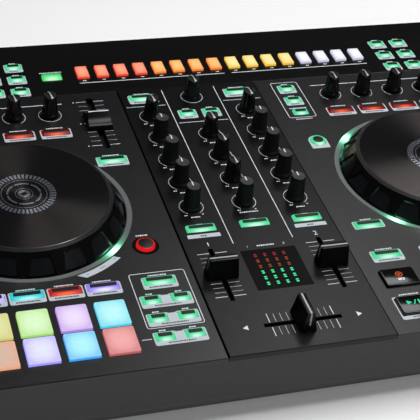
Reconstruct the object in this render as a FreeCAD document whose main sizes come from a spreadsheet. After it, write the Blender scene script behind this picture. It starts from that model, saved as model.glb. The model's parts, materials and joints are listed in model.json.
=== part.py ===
"""Two-deck DJ controller with a step-sequencer strip.

Row frame: +Z up, +Y from the player to the back edge, +X to the player's right.
The origin is the centre of the footprint, on the surface that the feet stand on.
Distances called "away" are measured from the front edge towards the back.
"""
import FreeCAD, Part
import os
import re
import Sketcher

SIZES = {
    # case
    "case_width": 530, "case_depth": 390, "case_height": 51, "foot_height": 4, "wall": 3, "plate": 3,
    "side_lip": 0.5, "rear_lip": 10.5, "slope_top": 18, "slope_run": 12, "seam": 0.4, "edge_bevel": 0.5,
    "foot_radius": 10, "foot_side": 225, "foot_front": 35, "foot_rear": 350,
    # panels
    "mixer_width": 116.4, "mixer_rise": 1, "strip_start": 311, "post_radius": 4, "pilot_radius": 1.55,
    "post_inset": 9, "post_front": 21, "post_back": 305.5, "post_strip": 367, "post_inner": 63,
    "post_mixer": 51.5,
    # screws
    "screw_radius": 1.5, "screw_length": 10, "head_radius": 2.8, "head_height": 1.6, "head_gap": 0.3,
    # jog wheels
    "jog_x": 159.2, "jog_y": 168.3, "jog_skirt_radius": 72.1, "jog_shoulder_radius": 62.4,
    "jog_plate_radius": 59.5, "jog_height": 15.4, "jog_plate_thickness": 1.5, "jog_skin": 2.5,
    "jog_shaft_radius": 6, "jog_shaft_depth": 30, "bearing_radius": 11, "shaft_gap": 0.05,
    "ring_inner": 72.6, "ring_outer": 76.7, "ring_flange": 78.4, "ring_rise": 0.4, "ring_gap": 0.2,
    # deck columns: the near one is beside the mixer, the far one beside the outer edge
    "near_column": 83.4, "far_column": 235, "deck_centre": 160,
    # caps of the illuminated buttons
    "cap_wide": 21.5, "cap_small": 12.6, "cap_depth": 7, "cap_rise": 1.7, "cap_sink": 5.5, "cap_gap": 0.3,
    "round_radius": 6.6, "round_rise": 2.5, "slip_radius": 6.2, "transport_width": 25.3,
    "transport_depth": 17, "transport_rise": 2.2, "transport_offset": 1.2,
    # deck buttons
    "fx_button_y": 260.5, "key_lock_y": 219.4, "deck_button_y": 117, "row_y": 79.8, "pair_y": 26.5,
    "pair_pitch": 17.6, "pair_offset": 10.1, "shift_y": 114, "slip_y": 220.7, "cue_y": 54.1, "play_y": 25.5,
    "assign_y": 261.8, "assign_pitch": 17.8,
    # pads
    "pad_width": 20.4, "pad_depth": 23.4, "pad_pitch": 25.45, "pad_y": 27.2, "pad_row_pitch": 25.6,
    "pad_rise": 1.8, "pad_sink": 4.5,
    # mixer
    "channel_x": 40.2, "load_y": 297.2, "prepare_y": 271.5, "prepare_x": 9.85, "channel_cue_y": 128.1,
    "window_width": 40.6, "window_depth": 41.7, "window_y": 78.15, "window_thickness": 1,
    # sequencer strip
    "step_width": 9.6, "step_depth": 16, "step_pitch": 16.25, "step_first_x": -80.4, "step_y": 341.5,
    "step_rise": 2, "start_x": -106.3, "start_y": 338, "start_width": 16.1, "start_depth": 8,
    "select_y": 320.8, "select_pitch": 18.1, "select_left": -155.2, "select_next": -134.9,
    "select_right": 190, "select_last": 210.3, "encoder_x": 236, "encoder_y": 338.9,
    # knobs
    "knob_height": 19.2, "knob_skirt": 7, "knob_waist": 6.3, "knob_top": 5.1, "knob_skirt_height": 2.6,
    "knob_lift": 0.3, "knob_bore_depth": 12.5, "fx_centre": 160.5, "fx_pitch": 28.2, "fx_knob_y": 284.5,
    "knob_first_y": 153.4, "knob_pitch": 29.3, "browse_y": 294.1,
    # potentiometers and their shafts
    "pot_width": 11, "pot_shaft": 3, "pot_shaft_rise": 12, "pot_hole": 3.7, "slide_width": 9,
    "slide_height": 6, "slide_margin": 16,
    # faders
    "fader_travel": 45, "tempo_travel": 60, "slot_width": 3.4, "tempo_slot": 5.2, "slot_margin": 4.5,
    "fader_y": 77.8, "crossfader_y": 23.8, "tempo_y": 269.3, "stem_thickness": 1.6, "stem_length": 5,
    "fader_cap_height": 16.3, "fader_base_length": 22, "fader_base_width": 11.5, "fader_top_length": 20.4,
    "fader_top_width": 6.2, "fader_lift": 0.6, "tempo_cap_height": 11, "tempo_cap_width": 20,
    "tempo_cap_depth": 22, "tempo_lip_height": 5, "tempo_ridge": 4,
    # boards
    "board": 1.6, "board_drop": 11, "deck_board_inner": 70, "deck_board_outer": 250, "board_front": 13,
    "board_back": 301, "jog_board_hole": 30, "mixer_board_half": 46, "strip_board_half": 248,
    "strip_board_front": 314, "strip_board_back": 362, "main_board_left": -170, "main_board_right": 250,
    "main_board_front": 330, "main_board_back": 375, "main_board_top": 22, "standoff_radius": 3,
    "switch_width": 6, "switch_height": 4, "phones_board_top": 31,
    # sockets, seen from behind
    "jack_bore": 3.25, "jack_body": 14, "jack_length": 20, "jack_depth": 18,
    "small_jack_bore": 1.8, "small_jack_depth": 13, "phono_radius": 4.15,
    "phono_bore": 1.6, "phono_body": 12, "phono_length": 14, "phono_reach": 9, "socket_gap": 0.2,
    "phono_first_x": -150, "phono_pitch": 18, "phono_pair_gap": 8, "jack_first_x": 14, "jack_pitch": 24,
    "phones_x": -236, "phones_pitch": 22, "usb_x": 172, "usb_width": 12.4, "usb_height": 11.4,
    "usb_length": 16, "usb_wall": 1.6, "usb_mouth_depth": 10, "power_x": 200, "power_body": 12,
    "power_bore": 2.8, "power_depth": 10, "power_length": 14,
    "power_switch_x": 228, "power_switch_width": 9, "power_switch_length": 12, "power_switch_reach": 3,
}

doc = FreeCAD.newDocument("dj_controller")
sheet = doc.addObject("Spreadsheet::Sheet", "Sheet")
for row, (alias, number) in enumerate(SIZES.items(), start=1):
    sheet.set(f"A{row}", alias)
    sheet.set(f"B{row}", str(number))
    sheet.setAlias(f"B{row}", alias)
doc.recompute()

FRONT = "case_depth / 2"
CASE_TOP = "(foot_height + case_height)"
TOP = "(foot_height + case_height + plate)"
FLOOR = "(foot_height + wall)"
REAR = "(case_depth - rear_lip)"
BOARD_TOP = f"({TOP} - board_drop)"
SIDES = (("left", -1), ("right", 1))

parts = []


def linked(text):
    """The expression with each size's name pointed at the sheet."""
    return re.sub(r"[a-z_]+", lambda m: "Sheet." + m.group() if m.group() in SIZES else m.group(), str(text))


def value(text):
    return float(sheet.evalExpression(linked(text)))


def bind(thing, **properties):
    for path, text in properties.items():
        thing.setExpression(path.replace("__", "."), linked(text))


def place(thing, x, away, z):
    """Puts an object's own origin at x, a distance from the front edge, and a height."""
    bind(thing, Placement__Base__x=x, Placement__Base__y=f"({away}) - {FRONT}", Placement__Base__z=z)
    return thing


def block(name, x, away, z, width, depth, height):
    """A box centred on x and away, standing on z."""
    box = doc.addObject("Part::Box", name)
    bind(box, Length=width, Width=depth, Height=height)
    return place(box, f"({x}) - ({width}) / 2", f"({away}) - ({depth}) / 2", z)


def disc(name, x, away, z, radius, height):
    cylinder = doc.addObject("Part::Cylinder", name)
    bind(cylinder, Radius=radius, Height=height)
    return place(cylinder, x, away, z)


def peg(name, x, away, z, radius, length):
    """A cylinder that runs along +Y, starting at away."""
    cylinder = doc.addObject("Part::Cylinder", name)
    cylinder.Placement.Rotation = FreeCAD.Rotation(FreeCAD.Vector(1, 0, 0), -90)
    bind(cylinder, Radius=radius, Height=length)
    return place(cylinder, x, away, z)


def fuse(name, *shapes):
    joined = doc.addObject("Part::MultiFuse", name)
    joined.Shapes = list(shapes)
    return joined


def cut(name, base, *tools):
    """The base with every tool taken away; the tools are gathered first, so that each cut is one boolean."""
    result = doc.addObject("Part::Cut", name)
    result.Base = base
    result.Tool = tools[0] if len(tools) == 1 else group(name + "_tools", tools)
    return result


def group(name, members):
    """Separate solids that share one node."""
    compound = doc.addObject("Part::Compound", name)
    compound.Links = list(members)
    return compound


def part(label, thing):
    thing.Label = label
    parts.append(thing)
    return thing


def profile_body(name, role, corners):
    """A body with a closed outline on one of its own planes, each corner held by the sheet."""
    body = doc.addObject("PartDesign::Body", name)
    plane = next(item for item in body.Origin.OriginFeatures if item.Role == role)
    sketch = body.newObject("Sketcher::SketchObject", name + "_outline")
    sketch.AttachmentSupport = (plane, [""])
    sketch.MapMode = "FlatFace"
    points = [FreeCAD.Vector(value(x), value(y), 0) for x, y in corners]
    for start, end in zip(points, points[1:] + points[:1]):
        sketch.addGeometry(Part.LineSegment(start, end), False)
    for index, corner in enumerate(corners):
        sketch.addConstraint(Sketcher.Constraint("Coincident", index, 2, (index + 1) % len(corners), 1))
        for kind, axis, text in (("DistanceX", -2, corner[0]), ("DistanceY", -1, corner[1])):
            if value(text) == 0:
                sketch.addConstraint(Sketcher.Constraint("PointOnObject", index, 1, axis))
                continue
            held = sketch.addConstraint(Sketcher.Constraint(kind, -1, 1, index, 1, value(text)))
            sketch.setExpression(f"Constraints[{held}]", linked(text))
    return body, sketch


def turned(name, corners, x, away, z="0"):
    """A body of revolution about a vertical axis; the corners are (radius, height) pairs."""
    body, sketch = profile_body(name, "XZ_Plane", corners)
    spin = body.newObject("PartDesign::Revolution", name + "_turn")
    spin.Profile = sketch
    spin.ReferenceAxis = (sketch, ["V_Axis"])
    spin.Angle = 360
    return place(body, x, away, z)


def extruded(name, corners, start_x, length):
    """A body with a side outline of (away, height) corners, drawn out along +X from start_x."""
    body, sketch = profile_body(name, "YZ_Plane", corners)
    pad = body.newObject("PartDesign::Pad", name + "_pad")
    pad.Profile = sketch
    bind(pad, Length=length)
    return place(body, start_x, "0", "0")


def bevelled(name, plate_box):
    """The plate with the four edges of its top face bevelled."""
    doc.recompute()
    top = plate_box.Shape.BoundBox.ZMax
    bevel = doc.addObject("Part::Chamfer", name)
    bevel.Base = plate_box
    size = value("edge_bevel")
    bevel.Edges = [
        (number, size, size)
        for number, edge in enumerate(plate_box.Shape.Edges, start=1)
        if edge.BoundBox.ZMin > top - size
    ]
    return bevel


# ---------------------------------------------------------------- caps, pads and their holes

def cap_and_hole(name, spot, rise):
    """A button cap that passes through a panel, and the hole that it passes through."""
    x, away, width, depth = spot
    bottom = f"{TOP} - cap_sink"
    cap = block(name, x, away, bottom, width, depth, f"cap_sink + {rise}")
    room = (f"{width} + 2 * cap_gap", f"{depth} + 2 * cap_gap", "2 * cap_sink")
    return cap, block(name + "_hole", x, away, bottom, *room)


def round_cap_and_hole(name, x, away, radius, rise):
    bottom = f"{TOP} - cap_sink"
    cap = disc(name, x, away, bottom, radius, f"cap_sink + {rise}")
    hole = disc(name + "_hole", x, away, bottom, f"{radius} + cap_gap", "2 * cap_sink")
    return cap, hole


def tact_switch(x, away):
    return block("tact_switch", x, away, BOARD_TOP, "switch_width", "switch_width", "switch_height")


switches = []
deck_holes = {"left": [], "right": []}
mixer_holes = []
strip_holes = []


def cap_group(label, spots, holes, rise="cap_rise", extra=()):
    """One node of separate caps; their holes and switches are kept for the panel and the board."""
    caps = []
    for number, spot in enumerate(spots, start=1):
        cap, hole = cap_and_hole(f"{label}_{number}", spot, rise)
        caps.append(cap)
        holes.append(hole)
        switches.append(tact_switch(spot[0], spot[1]))
    for number, (x, away, radius, height) in enumerate(extra, start=1):
        cap, hole = round_cap_and_hole(f"{label}_round_{number}", x, away, radius, height)
        caps.append(cap)
        holes.append(hole)
        switches.append(tact_switch(x, away))
    if len(caps) == 1:
        return part(label, caps[0])
    return part(label, group(label, caps))


def deck_columns(side):
    """The loop column and the transport column: each deck has them in the same left-to-right order."""
    if side < 0:
        return "far_column * -1", "near_column * -1"
    return "near_column", "far_column"


def deck_button_spots(side):
    play_x, loop_x = deck_columns(side)
    spots = [(f"{side} * fx_centre + {step} * fx_pitch", "fx_button_y") for step in (-1.5, -0.5, 0.5, 1.5)]
    spots += [(f"{side} * deck_centre + {step} * pad_pitch", "row_y") for step in (-1.5, -0.5, 0.5, 1.5)]
    spots += [(loop_x, "key_lock_y"), (loop_x, "row_y"), (play_x, "row_y"), (play_x, "shift_y")]
    wide = [(x, away, "cap_wide", "cap_depth") for x, away in spots]
    pairs = [
        (f"{loop_x} + {hand} * pair_offset", f"pair_y + {step} * pair_pitch", "cap_small", "cap_depth")
        for step in range(3)
        for hand in (-1, 1)
    ]
    assigns = [(play_x, f"assign_y + {step} * assign_pitch", "cap_small", "cap_depth") for step in range(3)]
    return wide + pairs + assigns


for hand, side in SIDES:
    play_column, loop_column = deck_columns(side)
    rounds = [
        (loop_column, "deck_button_y", "round_radius", "round_rise"),
        (play_column, "slip_y", "slip_radius", "cap_rise"),
    ]
    cap_group(f"{hand}_deck_buttons", deck_button_spots(side), deck_holes[hand], extra=rounds)
    for job in ("cue", "play"):
        spot = (f"{play_column} - transport_offset", f"{job}_y", "transport_width", "transport_depth")
        cap_group(f"{hand}_{job}_button", [spot], deck_holes[hand], rise="transport_rise")

mixer_spots = [(f"{side} * channel_x", "load_y", "cap_wide", "cap_depth") for _, side in SIDES]
mixer_spots += [(f"{side} * prepare_x", "prepare_y", "cap_small", "cap_depth") for _, side in SIDES]
mixer_spots += [(f"{step} * channel_x", "channel_cue_y", "cap_wide", "cap_depth") for step in (-1, 0, 1)]
cap_group("mixer_buttons", mixer_spots, mixer_holes, rise="(mixer_rise + cap_rise)")

strip_spots = [("start_x", "start_y", "start_width", "start_depth")]
strip_spots += [
    (column, f"select_y + {step} * select_pitch", "cap_small", "cap_depth")
    for column in ("select_left", "select_next", "select_right", "select_last")
    for step in range(3)
]
cap_group("sequencer_buttons", strip_spots, strip_holes)


def pad_group(label, centres, size, holes, rise):
    """One node of separate pads of one size, and the panel's holes for them."""
    bottom = f"{TOP} - pad_sink"
    room = [f"{side} + 2 * cap_gap" for side in size]
    pads = []
    for number, (x, away) in enumerate(centres, start=1):
        pads.append(block(f"{label}_{number}", x, away, bottom, *size, f"pad_sink + {rise}"))
        holes.append(block(f"{label}_hole_{number}", x, away, bottom, *room, "2 * pad_sink"))
    return part(label, group(label, pads))


for hand, side in SIDES:
    pad_centres = [
        (f"{side} * deck_centre + {column} * pad_pitch", f"pad_y + {line} * pad_row_pitch")
        for line in range(2)
        for column in (-1.5, -0.5, 0.5, 1.5)
    ]
    pad_group(f"{hand}_pads", pad_centres, ("pad_width", "pad_depth"), deck_holes[hand], "pad_rise")

step_centres = [(f"step_first_x + {step} * step_pitch", "step_y") for step in range(16)]
pad_group("step_pads", step_centres, ("step_width", "step_depth"), strip_holes, "step_rise")


# ---------------------------------------------------------------- knobs on their potentiometers

pots = []


def knob(label, x, away, holes):
    """A knob with a blind bore, standing on a potentiometer whose shaft fills the bore."""
    corners = [
        ("pot_shaft + shaft_gap", "0"),
        ("knob_skirt", "0"),
        ("knob_skirt", "knob_skirt_height - 1"),
        ("knob_waist", "knob_skirt_height"),
        ("knob_top", "knob_height - knob_lift"),
        ("0", "knob_height - knob_lift"),
        ("0", "knob_bore_depth"),
        ("pot_shaft + shaft_gap", "knob_bore_depth"),
    ]
    part(label, turned(label, corners, x, away, f"{TOP} + mixer_rise + knob_lift"))
    can = block(label + "_can", x, away, BOARD_TOP, "pot_width", "pot_width", f"{CASE_TOP} - {BOARD_TOP}")
    shaft = disc(label + "_shaft", x, away, CASE_TOP, "pot_shaft", "plate + pot_shaft_rise")
    pots.append(fuse(label + "_pot", can, shaft))
    holes.append(disc(label + "_hole", x, away, f"{CASE_TOP} - 1", "pot_hole", "2 * plate + 2"))


for hand, side in SIDES:
    for number, step in enumerate((-1.5, -0.5, 0.5, 1.5), start=1):
        spot = f"{side} * fx_centre + {step} * fx_pitch"
        knob(f"{hand}_effect_knob_{number}", spot, "fx_knob_y", deck_holes[hand])

for channel, (hand, side) in enumerate(SIDES, start=1):
    for line, job in enumerate(("filter", "low", "mid", "high", "trim")):
        spot = (f"{side} * channel_x", f"knob_first_y + {line} * knob_pitch")
        knob(f"channel_{channel}_{job}_knob", *spot, mixer_holes)

for line, job in enumerate(("sampler_level", "cue_mix", "booth_level", "master_level")):
    knob(f"{job}_knob", "0", f"knob_first_y + {line} * knob_pitch", mixer_holes)
knob("browse_knob", "0", "browse_y", mixer_holes)
knob("sequencer_knob", "encoder_x", "encoder_y", strip_holes)


# ---------------------------------------------------------------- faders

def upright_cap(name, length, width, height, top_length, top_width):
    """A fader cap that tapers to a narrow ridge; its long side lies along X."""
    cap = doc.addObject("Part::Wedge", name)
    bind(cap, Xmin=f"-({length}) / 2", Xmax=f"({length}) / 2", Ymin="0", Ymax=height)
    bind(cap, Zmin=f"-({width}) / 2", Zmax=f"({width}) / 2", X2min=f"-({top_length}) / 2")
    bind(cap, X2max=f"({top_length}) / 2", Z2min=f"-({top_width}) / 2", Z2max=f"({top_width}) / 2")
    return cap


def fader(label, x, away, travel, along_x, cap, slot, holes):
    """A cap and its stem, the slot that the stem runs in, and the slide potentiometer under the slot."""
    stem_bottom = f"({BOARD_TOP} + slide_height + 0.4)"
    stem_height = f"{TOP} + mixer_rise + fader_lift + 1 - {stem_bottom}"
    stem_size = ("stem_length", "stem_thickness") if along_x else ("stem_thickness", "stem_length")
    stem = block(label + "_stem", x, away, stem_bottom, *stem_size, stem_height)
    part(label, fuse(label, cap, stem))
    run = f"{travel} + stem_length + slot_margin"
    slot_size = (run, slot) if along_x else (slot, run)
    holes.append(block(label + "_slot", x, away, f"{CASE_TOP} - 1", *slot_size, "2 * plate + 2"))
    long_side = f"{travel} + slide_margin"
    body_size = (long_side, "slide_width") if along_x else ("slide_width", long_side)
    pots.append(block(label + "_slide", x, away, BOARD_TOP, *body_size, "slide_height"))


def mixer_fader(label, x, away, along_x):
    """A tall cap whose ridge lies across its travel."""
    sizes = ("fader_base_length", "fader_base_width", "fader_cap_height - mixer_rise - fader_lift")
    cap = upright_cap(label + "_cap", *sizes, "fader_top_length", "fader_top_width")
    cap.Placement.Rotation = FreeCAD.Rotation(90 if along_x else 0, 0, 90)
    place(cap, x, away, f"{TOP} + mixer_rise + fader_lift")
    fader(label, x, away, "fader_travel", along_x, cap, "slot_width", mixer_holes)


mixer_fader("channel_fader_1", "-channel_x", "fader_y", False)
mixer_fader("channel_fader_2", "channel_x", "fader_y", False)
mixer_fader("crossfader", "0", "crossfader_y", True)

for hand, side in SIDES:
    fader_x = deck_columns(side)[1]
    label = f"{hand}_tempo_fader"
    corners = [
        ("0", "0"),
        ("tempo_cap_depth", "0"),
        ("tempo_cap_depth", "tempo_lip_height"),
        ("(tempo_cap_depth + tempo_ridge) / 2", "tempo_cap_height - fader_lift"),
        ("(tempo_cap_depth - tempo_ridge) / 2", "tempo_cap_height - fader_lift"),
        ("0", "tempo_lip_height"),
    ]
    tempo_cap = extruded(label + "_cap", corners, "0", "tempo_cap_width")
    corner = (f"{fader_x} - tempo_cap_width / 2", "tempo_y - tempo_cap_depth / 2")
    place(tempo_cap, *corner, f"{TOP} + fader_lift")
    fader(label, fader_x, "tempo_y", "tempo_travel", False, tempo_cap, "tempo_slot", deck_holes[hand])


# ---------------------------------------------------------------- jog wheels

rings = []
bearings = []
for hand, side in SIDES:
    jog_x = f"{side} * jog_x"
    plate_seat = "jog_height - jog_plate_thickness"
    wheel_corners = [
        ("0", plate_seat),
        ("jog_plate_radius + 0.2", plate_seat),
        ("jog_plate_radius + 0.2", "jog_height"),
        ("jog_plate_radius + 0.8", "jog_height"),
        ("jog_shoulder_radius", "jog_height - 1"),
        ("jog_skirt_radius", "0.6"),
        ("jog_skirt_radius", "-1.8"),
        ("jog_skirt_radius - jog_skin", "-1.8"),
        ("jog_shoulder_radius - jog_skin", f"{plate_seat} - jog_skin"),
        ("2 * jog_shaft_radius", f"{plate_seat} - jog_skin"),
        ("2 * jog_shaft_radius", "2"),
        ("jog_shaft_radius", "2"),
        ("jog_shaft_radius", "-jog_shaft_depth"),
        ("0", "-jog_shaft_depth"),
    ]
    part(f"{hand}_jog_wheel", turned(f"{hand}_jog_wheel", wheel_corners, jog_x, "jog_y", TOP))
    plate_size = ("jog_plate_radius", "jog_plate_thickness")
    part(f"{hand}_jog_plate", disc(f"{hand}_jog_plate", jog_x, "jog_y", f"{TOP} + {plate_seat}", *plate_size))
    ring_corners = [
        ("ring_inner", "-plate - 1.5"),
        ("ring_flange", "-plate - 1.5"),
        ("ring_flange", "-plate"),
        ("ring_outer", "-plate"),
        ("ring_outer", "ring_rise"),
        ("ring_inner", "ring_rise"),
    ]
    rings.append(turned(f"{hand}_ring", ring_corners, jog_x, "jog_y", TOP))
    bore = "jog_shaft_radius + shaft_gap"
    bearing_corners = [
        ("0", FLOOR),
        ("bearing_radius + 5", FLOOR),
        ("bearing_radius + 5", f"{FLOOR} + 3"),
        ("bearing_radius", f"{FLOOR} + 3"),
        ("bearing_radius", f"{TOP} + 1.7"),
        (bore, f"{TOP} + 1.7"),
        (bore, f"{TOP} - jog_shaft_depth - 1"),
        ("0", f"{TOP} - jog_shaft_depth - 1"),
    ]
    bearings.append(turned(f"{hand}_bearing", bearing_corners, jog_x, "jog_y"))
    well = ("ring_outer + ring_gap", "plate + 2")
    deck_holes[hand].append(disc(f"{hand}_jog_hole", jog_x, "jog_y", f"{CASE_TOP} - 1", *well))
part("jog_light_rings", group("jog_light_rings", rings))
part("jog_bearings", group("jog_bearings", bearings))


# ---------------------------------------------------------------- panels on their screw posts

left_edge = "-(case_width / 2 - post_inset)"
right_edge = "(case_width / 2 - post_inset)"
post_spots = {
    "left": [(left_edge, "post_front"), (left_edge, "post_back"), ("-post_inner", "post_front")],
    "right": [(right_edge, "post_front"), (right_edge, "post_back"), ("post_inner", "post_front")],
    "mixer": [("-post_mixer", "post_front"), ("post_mixer", "post_front"), ("0", "post_back")],
    "strip": [(left_edge, "post_strip"), ("0", "post_strip"), (right_edge, "post_strip")],
}


def panel(label, key, x, away, width, depth, thickness, holes):
    plate_box = block(label + "_plate", x, away, CASE_TOP, width, depth, thickness)
    posts = [
        disc(f"{label}_post", post_x, post_away, FLOOR, "post_radius", f"{CASE_TOP} - {FLOOR} + 1")
        for post_x, post_away in post_spots[key]
    ]
    pilots = [
        disc(f"{label}_pilot", post_x, post_away, FLOOR, "pilot_radius", "screw_length + 2")
        for post_x, post_away in post_spots[key]
    ]
    body = fuse(label + "_body", bevelled(label + "_bevel", plate_box), *posts)
    return part(label, cut(label, body, *holes, *pilots))


deck_width = "(case_width - mixer_width) / 2 - seam"
deck_x = f"mixer_width / 2 + seam + ({deck_width}) / 2"
for hand, side in SIDES:
    size = (deck_width, "strip_start", "plate")
    panel(f"{hand}_deck_panel", hand, f"{side} * ({deck_x})", "strip_start / 2", *size, deck_holes[hand])

window_base = f"{TOP} + mixer_rise - window_thickness"
window_spot = ("0", "window_y", window_base)
window_size = ("window_width", "window_depth", "window_thickness")
part("level_meter_window", block("level_meter_window", *window_spot, *window_size))
seat_size = ("window_width + socket_gap", "window_depth + socket_gap", "2 * window_thickness")
mixer_holes.append(block("window_seat", *window_spot, *seat_size))
mixer_size = ("mixer_width", "strip_start", "plate + mixer_rise")
panel("mixer_panel", "mixer", "0", "strip_start / 2", *mixer_size, mixer_holes)

strip_depth = "case_depth - strip_start - seam"
strip_size = ("case_width", strip_depth, "plate")
panel("sequencer_panel", "strip", "0", f"case_depth - ({strip_depth}) / 2", *strip_size, strip_holes)


# ---------------------------------------------------------------- sockets and the power switch

rear_wall = f"({REAR} - wall)"
wall_middle = f"{rear_wall} + wall / 2"
JACK_Z = "(main_board_top + jack_body / 2)"
PHONES_Z = "(phones_board_top + jack_body / 2)"
case_holes = []


def phono_socket(name, x):
    """A socket on the board whose round shell stands out through the rear wall, with its pin hole."""
    centre = f"{rear_wall} - phono_length / 2"
    body_size = ("phono_body", "phono_length", "phono_body")
    body = block(name + "_body", x, centre, f"{phono_z} - phono_body / 2", *body_size)
    shell = peg(name + "_shell", x, f"{rear_wall} - 1", phono_z, "phono_radius", "1 + wall + phono_reach")
    bore = peg(name + "_bore", x, REAR, phono_z, "phono_bore", "phono_reach + 1")
    wall_hole = (f"{rear_wall} - 1", phono_z, "phono_radius + socket_gap", "wall + 2")
    case_holes.append(peg(name + "_wall_hole", x, *wall_hole))
    return cut(name, fuse(name + "_solid", body, shell), bore)


def wall_window(name, x, away, z, width):
    """A square window in a wall of the case, for the end of a square socket."""
    room = f"({width} + 2 * socket_gap)"
    case_holes.append(block(name + "_window", x, away, f"{z} - {room} / 2", room, "wall + 2", room))


def rear_socket(name, x, z, body, length, bore, depth):
    """A square socket whose end fills a window in the rear wall, flush with the wall."""
    shell = block(name + "_body", x, f"{REAR} - {length} / 2", f"{z} - {body} / 2", body, length, body)
    mouth = peg(name + "_bore", x, f"{REAR} - {depth}", z, bore, f"{depth} + 1")
    wall_window(name, x, wall_middle, z, body)
    return cut(name, shell, mouth)


def front_socket(name, x, bore, depth):
    """A square headphone socket whose end fills a window in the front wall, flush with the wall."""
    shell_size = ("jack_body", "jack_length", "jack_body")
    shell = block(name + "_body", x, "side_lip + jack_length / 2", f"{PHONES_Z} - jack_body / 2", *shell_size)
    mouth = peg(name + "_bore", x, "side_lip - 1", PHONES_Z, bore, f"{depth} + 1")
    wall_window(name, x, "side_lip + wall / 2", PHONES_Z, "jack_body")
    return cut(name, shell, mouth)


phono_z = "(main_board_top + phono_body / 2)"
jack_sizes = ("jack_body", "jack_length", "jack_bore", "jack_depth")
audio = [
    phono_socket(
        f"phono_socket_{number + 1}",
        f"phono_first_x + {number} * phono_pitch + {number // 2} * phono_pair_gap",
    )
    for number in range(6)
]
audio += [
    rear_socket(f"jack_socket_{number + 1}", f"jack_first_x + {number} * jack_pitch", JACK_Z, *jack_sizes)
    for number in range(5)
]
audio.append(front_socket("phones_socket", "phones_x", "jack_bore", "jack_depth"))
small_sizes = ("small_jack_bore", "small_jack_depth")
audio.append(front_socket("small_phones_socket", "phones_x + phones_pitch", *small_sizes))
part("audio_sockets", group("audio_sockets", audio))

usb_z = "main_board_top"
usb_away = f"{REAR} - usb_length / 2"
usb_shell = block("usb_shell", "usb_x", usb_away, usb_z, "usb_width", "usb_length", "usb_height")
mouth_away = f"{REAR} - (usb_mouth_depth - 1) / 2"
mouth_size = ("usb_width - 2 * usb_wall", "usb_mouth_depth + 1", "usb_height - 2 * usb_wall")
usb_mouth = block("usb_mouth", "usb_x", mouth_away, f"{usb_z} + usb_wall", *mouth_size)
usb_socket = cut("usb_socket", usb_shell, usb_mouth)
usb_room = ("usb_width + 2 * socket_gap", "wall + 2", "usb_height + 2 * socket_gap")
case_holes.append(block("usb_wall_hole", "usb_x", wall_middle, f"{usb_z} - socket_gap", *usb_room))
power_z = "(main_board_top + power_body / 2)"
power_sizes = (power_z, "power_body", "power_length", "power_bore", "power_depth")
power_socket = rear_socket("power_socket", "power_x", *power_sizes)
part("data_and_power_sockets", group("data_and_power_sockets", [usb_socket, power_socket]))

switch_z = "(main_board_top + 1)"
switch_away = f"{REAR} + power_switch_reach - power_switch_length / 2"
switch_size = ("power_switch_width", "power_switch_length", "power_switch_width")
part("power_switch", block("power_switch", "power_switch_x", switch_away, switch_z, *switch_size))
switch_room = ("power_switch_width + 2 * cap_gap", "wall + 2", "power_switch_width + 2 * cap_gap")
case_holes.append(block("switch_hole", "power_switch_x", wall_middle, f"{switch_z} - cap_gap", *switch_room))


# ---------------------------------------------------------------- case, feet and screws

outer = [
    ("side_lip", CASE_TOP),
    ("side_lip", "foot_height + slope_top"),
    ("slope_run", "foot_height"),
    (REAR, "foot_height"),
    (REAR, CASE_TOP),
]
inner = [
    ("side_lip + wall", f"{CASE_TOP} + 1"),
    ("side_lip + wall", "foot_height + slope_top + 1"),
    ("slope_run + wall", FLOOR),
    (rear_wall, FLOOR),
    (rear_wall, f"{CASE_TOP} + 1"),
]
shell_width = "(case_width - 2 * side_lip)"
outside = extruded("case_outside", outer, f"-{shell_width} / 2", shell_width)
inside = extruded("case_inside", inner, f"-{shell_width} / 2 + wall", f"{shell_width} - 2 * wall")
standoff_spots = [
    (f"{edge} {inset}", away, "main_board_top")
    for edge, inset in (("main_board_left", "+ 6"), ("main_board_right", "- 6"))
    for away in ("main_board_front + 5", "main_board_back - 25")
]
phones_centres = ("phones_x", "phones_x + phones_pitch")
standoff_spots += [(x, "jack_length", "phones_board_top") for x in phones_centres]
standoffs = [
    disc("standoff", x, away, f"{FLOOR} - 1", "standoff_radius", f"{top} - board - {FLOOR} + 1")
    for x, away, top in standoff_spots
]
for spots in post_spots.values():
    for x, away in spots:
        case_holes.append(disc("screw_hole", x, away, "foot_height - 1", "screw_radius + 0.15", "wall + 2"))
        counterbore = ("head_radius + head_gap", "head_height + 1.2")
        case_holes.append(disc("screw_seat", x, away, "foot_height - 1", *counterbore))
hollow_case = cut("hollow_case", outside, inside)
part("bottom_case", cut("bottom_case", fuse("case_with_standoffs", hollow_case, *standoffs), *case_holes))

screws = []
for spots in post_spots.values():
    for x, away in spots:
        head = disc("screw_head", x, away, "foot_height + 0.2", "head_radius", "head_height")
        shank = disc("screw_shank", x, away, "foot_height + 0.2", "screw_radius", "screw_length")
        screws.append(fuse("case_screw", head, shank))
part("case_screws", group("case_screws", screws))

feet = [
    disc("foot", f"{side} * foot_side", away, "0", "foot_radius", "foot_height")
    for _, side in SIDES
    for away in ("foot_front", "foot_rear")
]
part("rubber_feet", group("rubber_feet", feet))


# ---------------------------------------------------------------- boards

def board(name, left, right, front, back, top):
    x = f"(({left}) + ({right})) / 2"
    away = f"(({front}) + ({back})) / 2"
    return block(name, x, away, f"{top} - board", f"({right}) - ({left})", f"({back}) - ({front})", "board")


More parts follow.
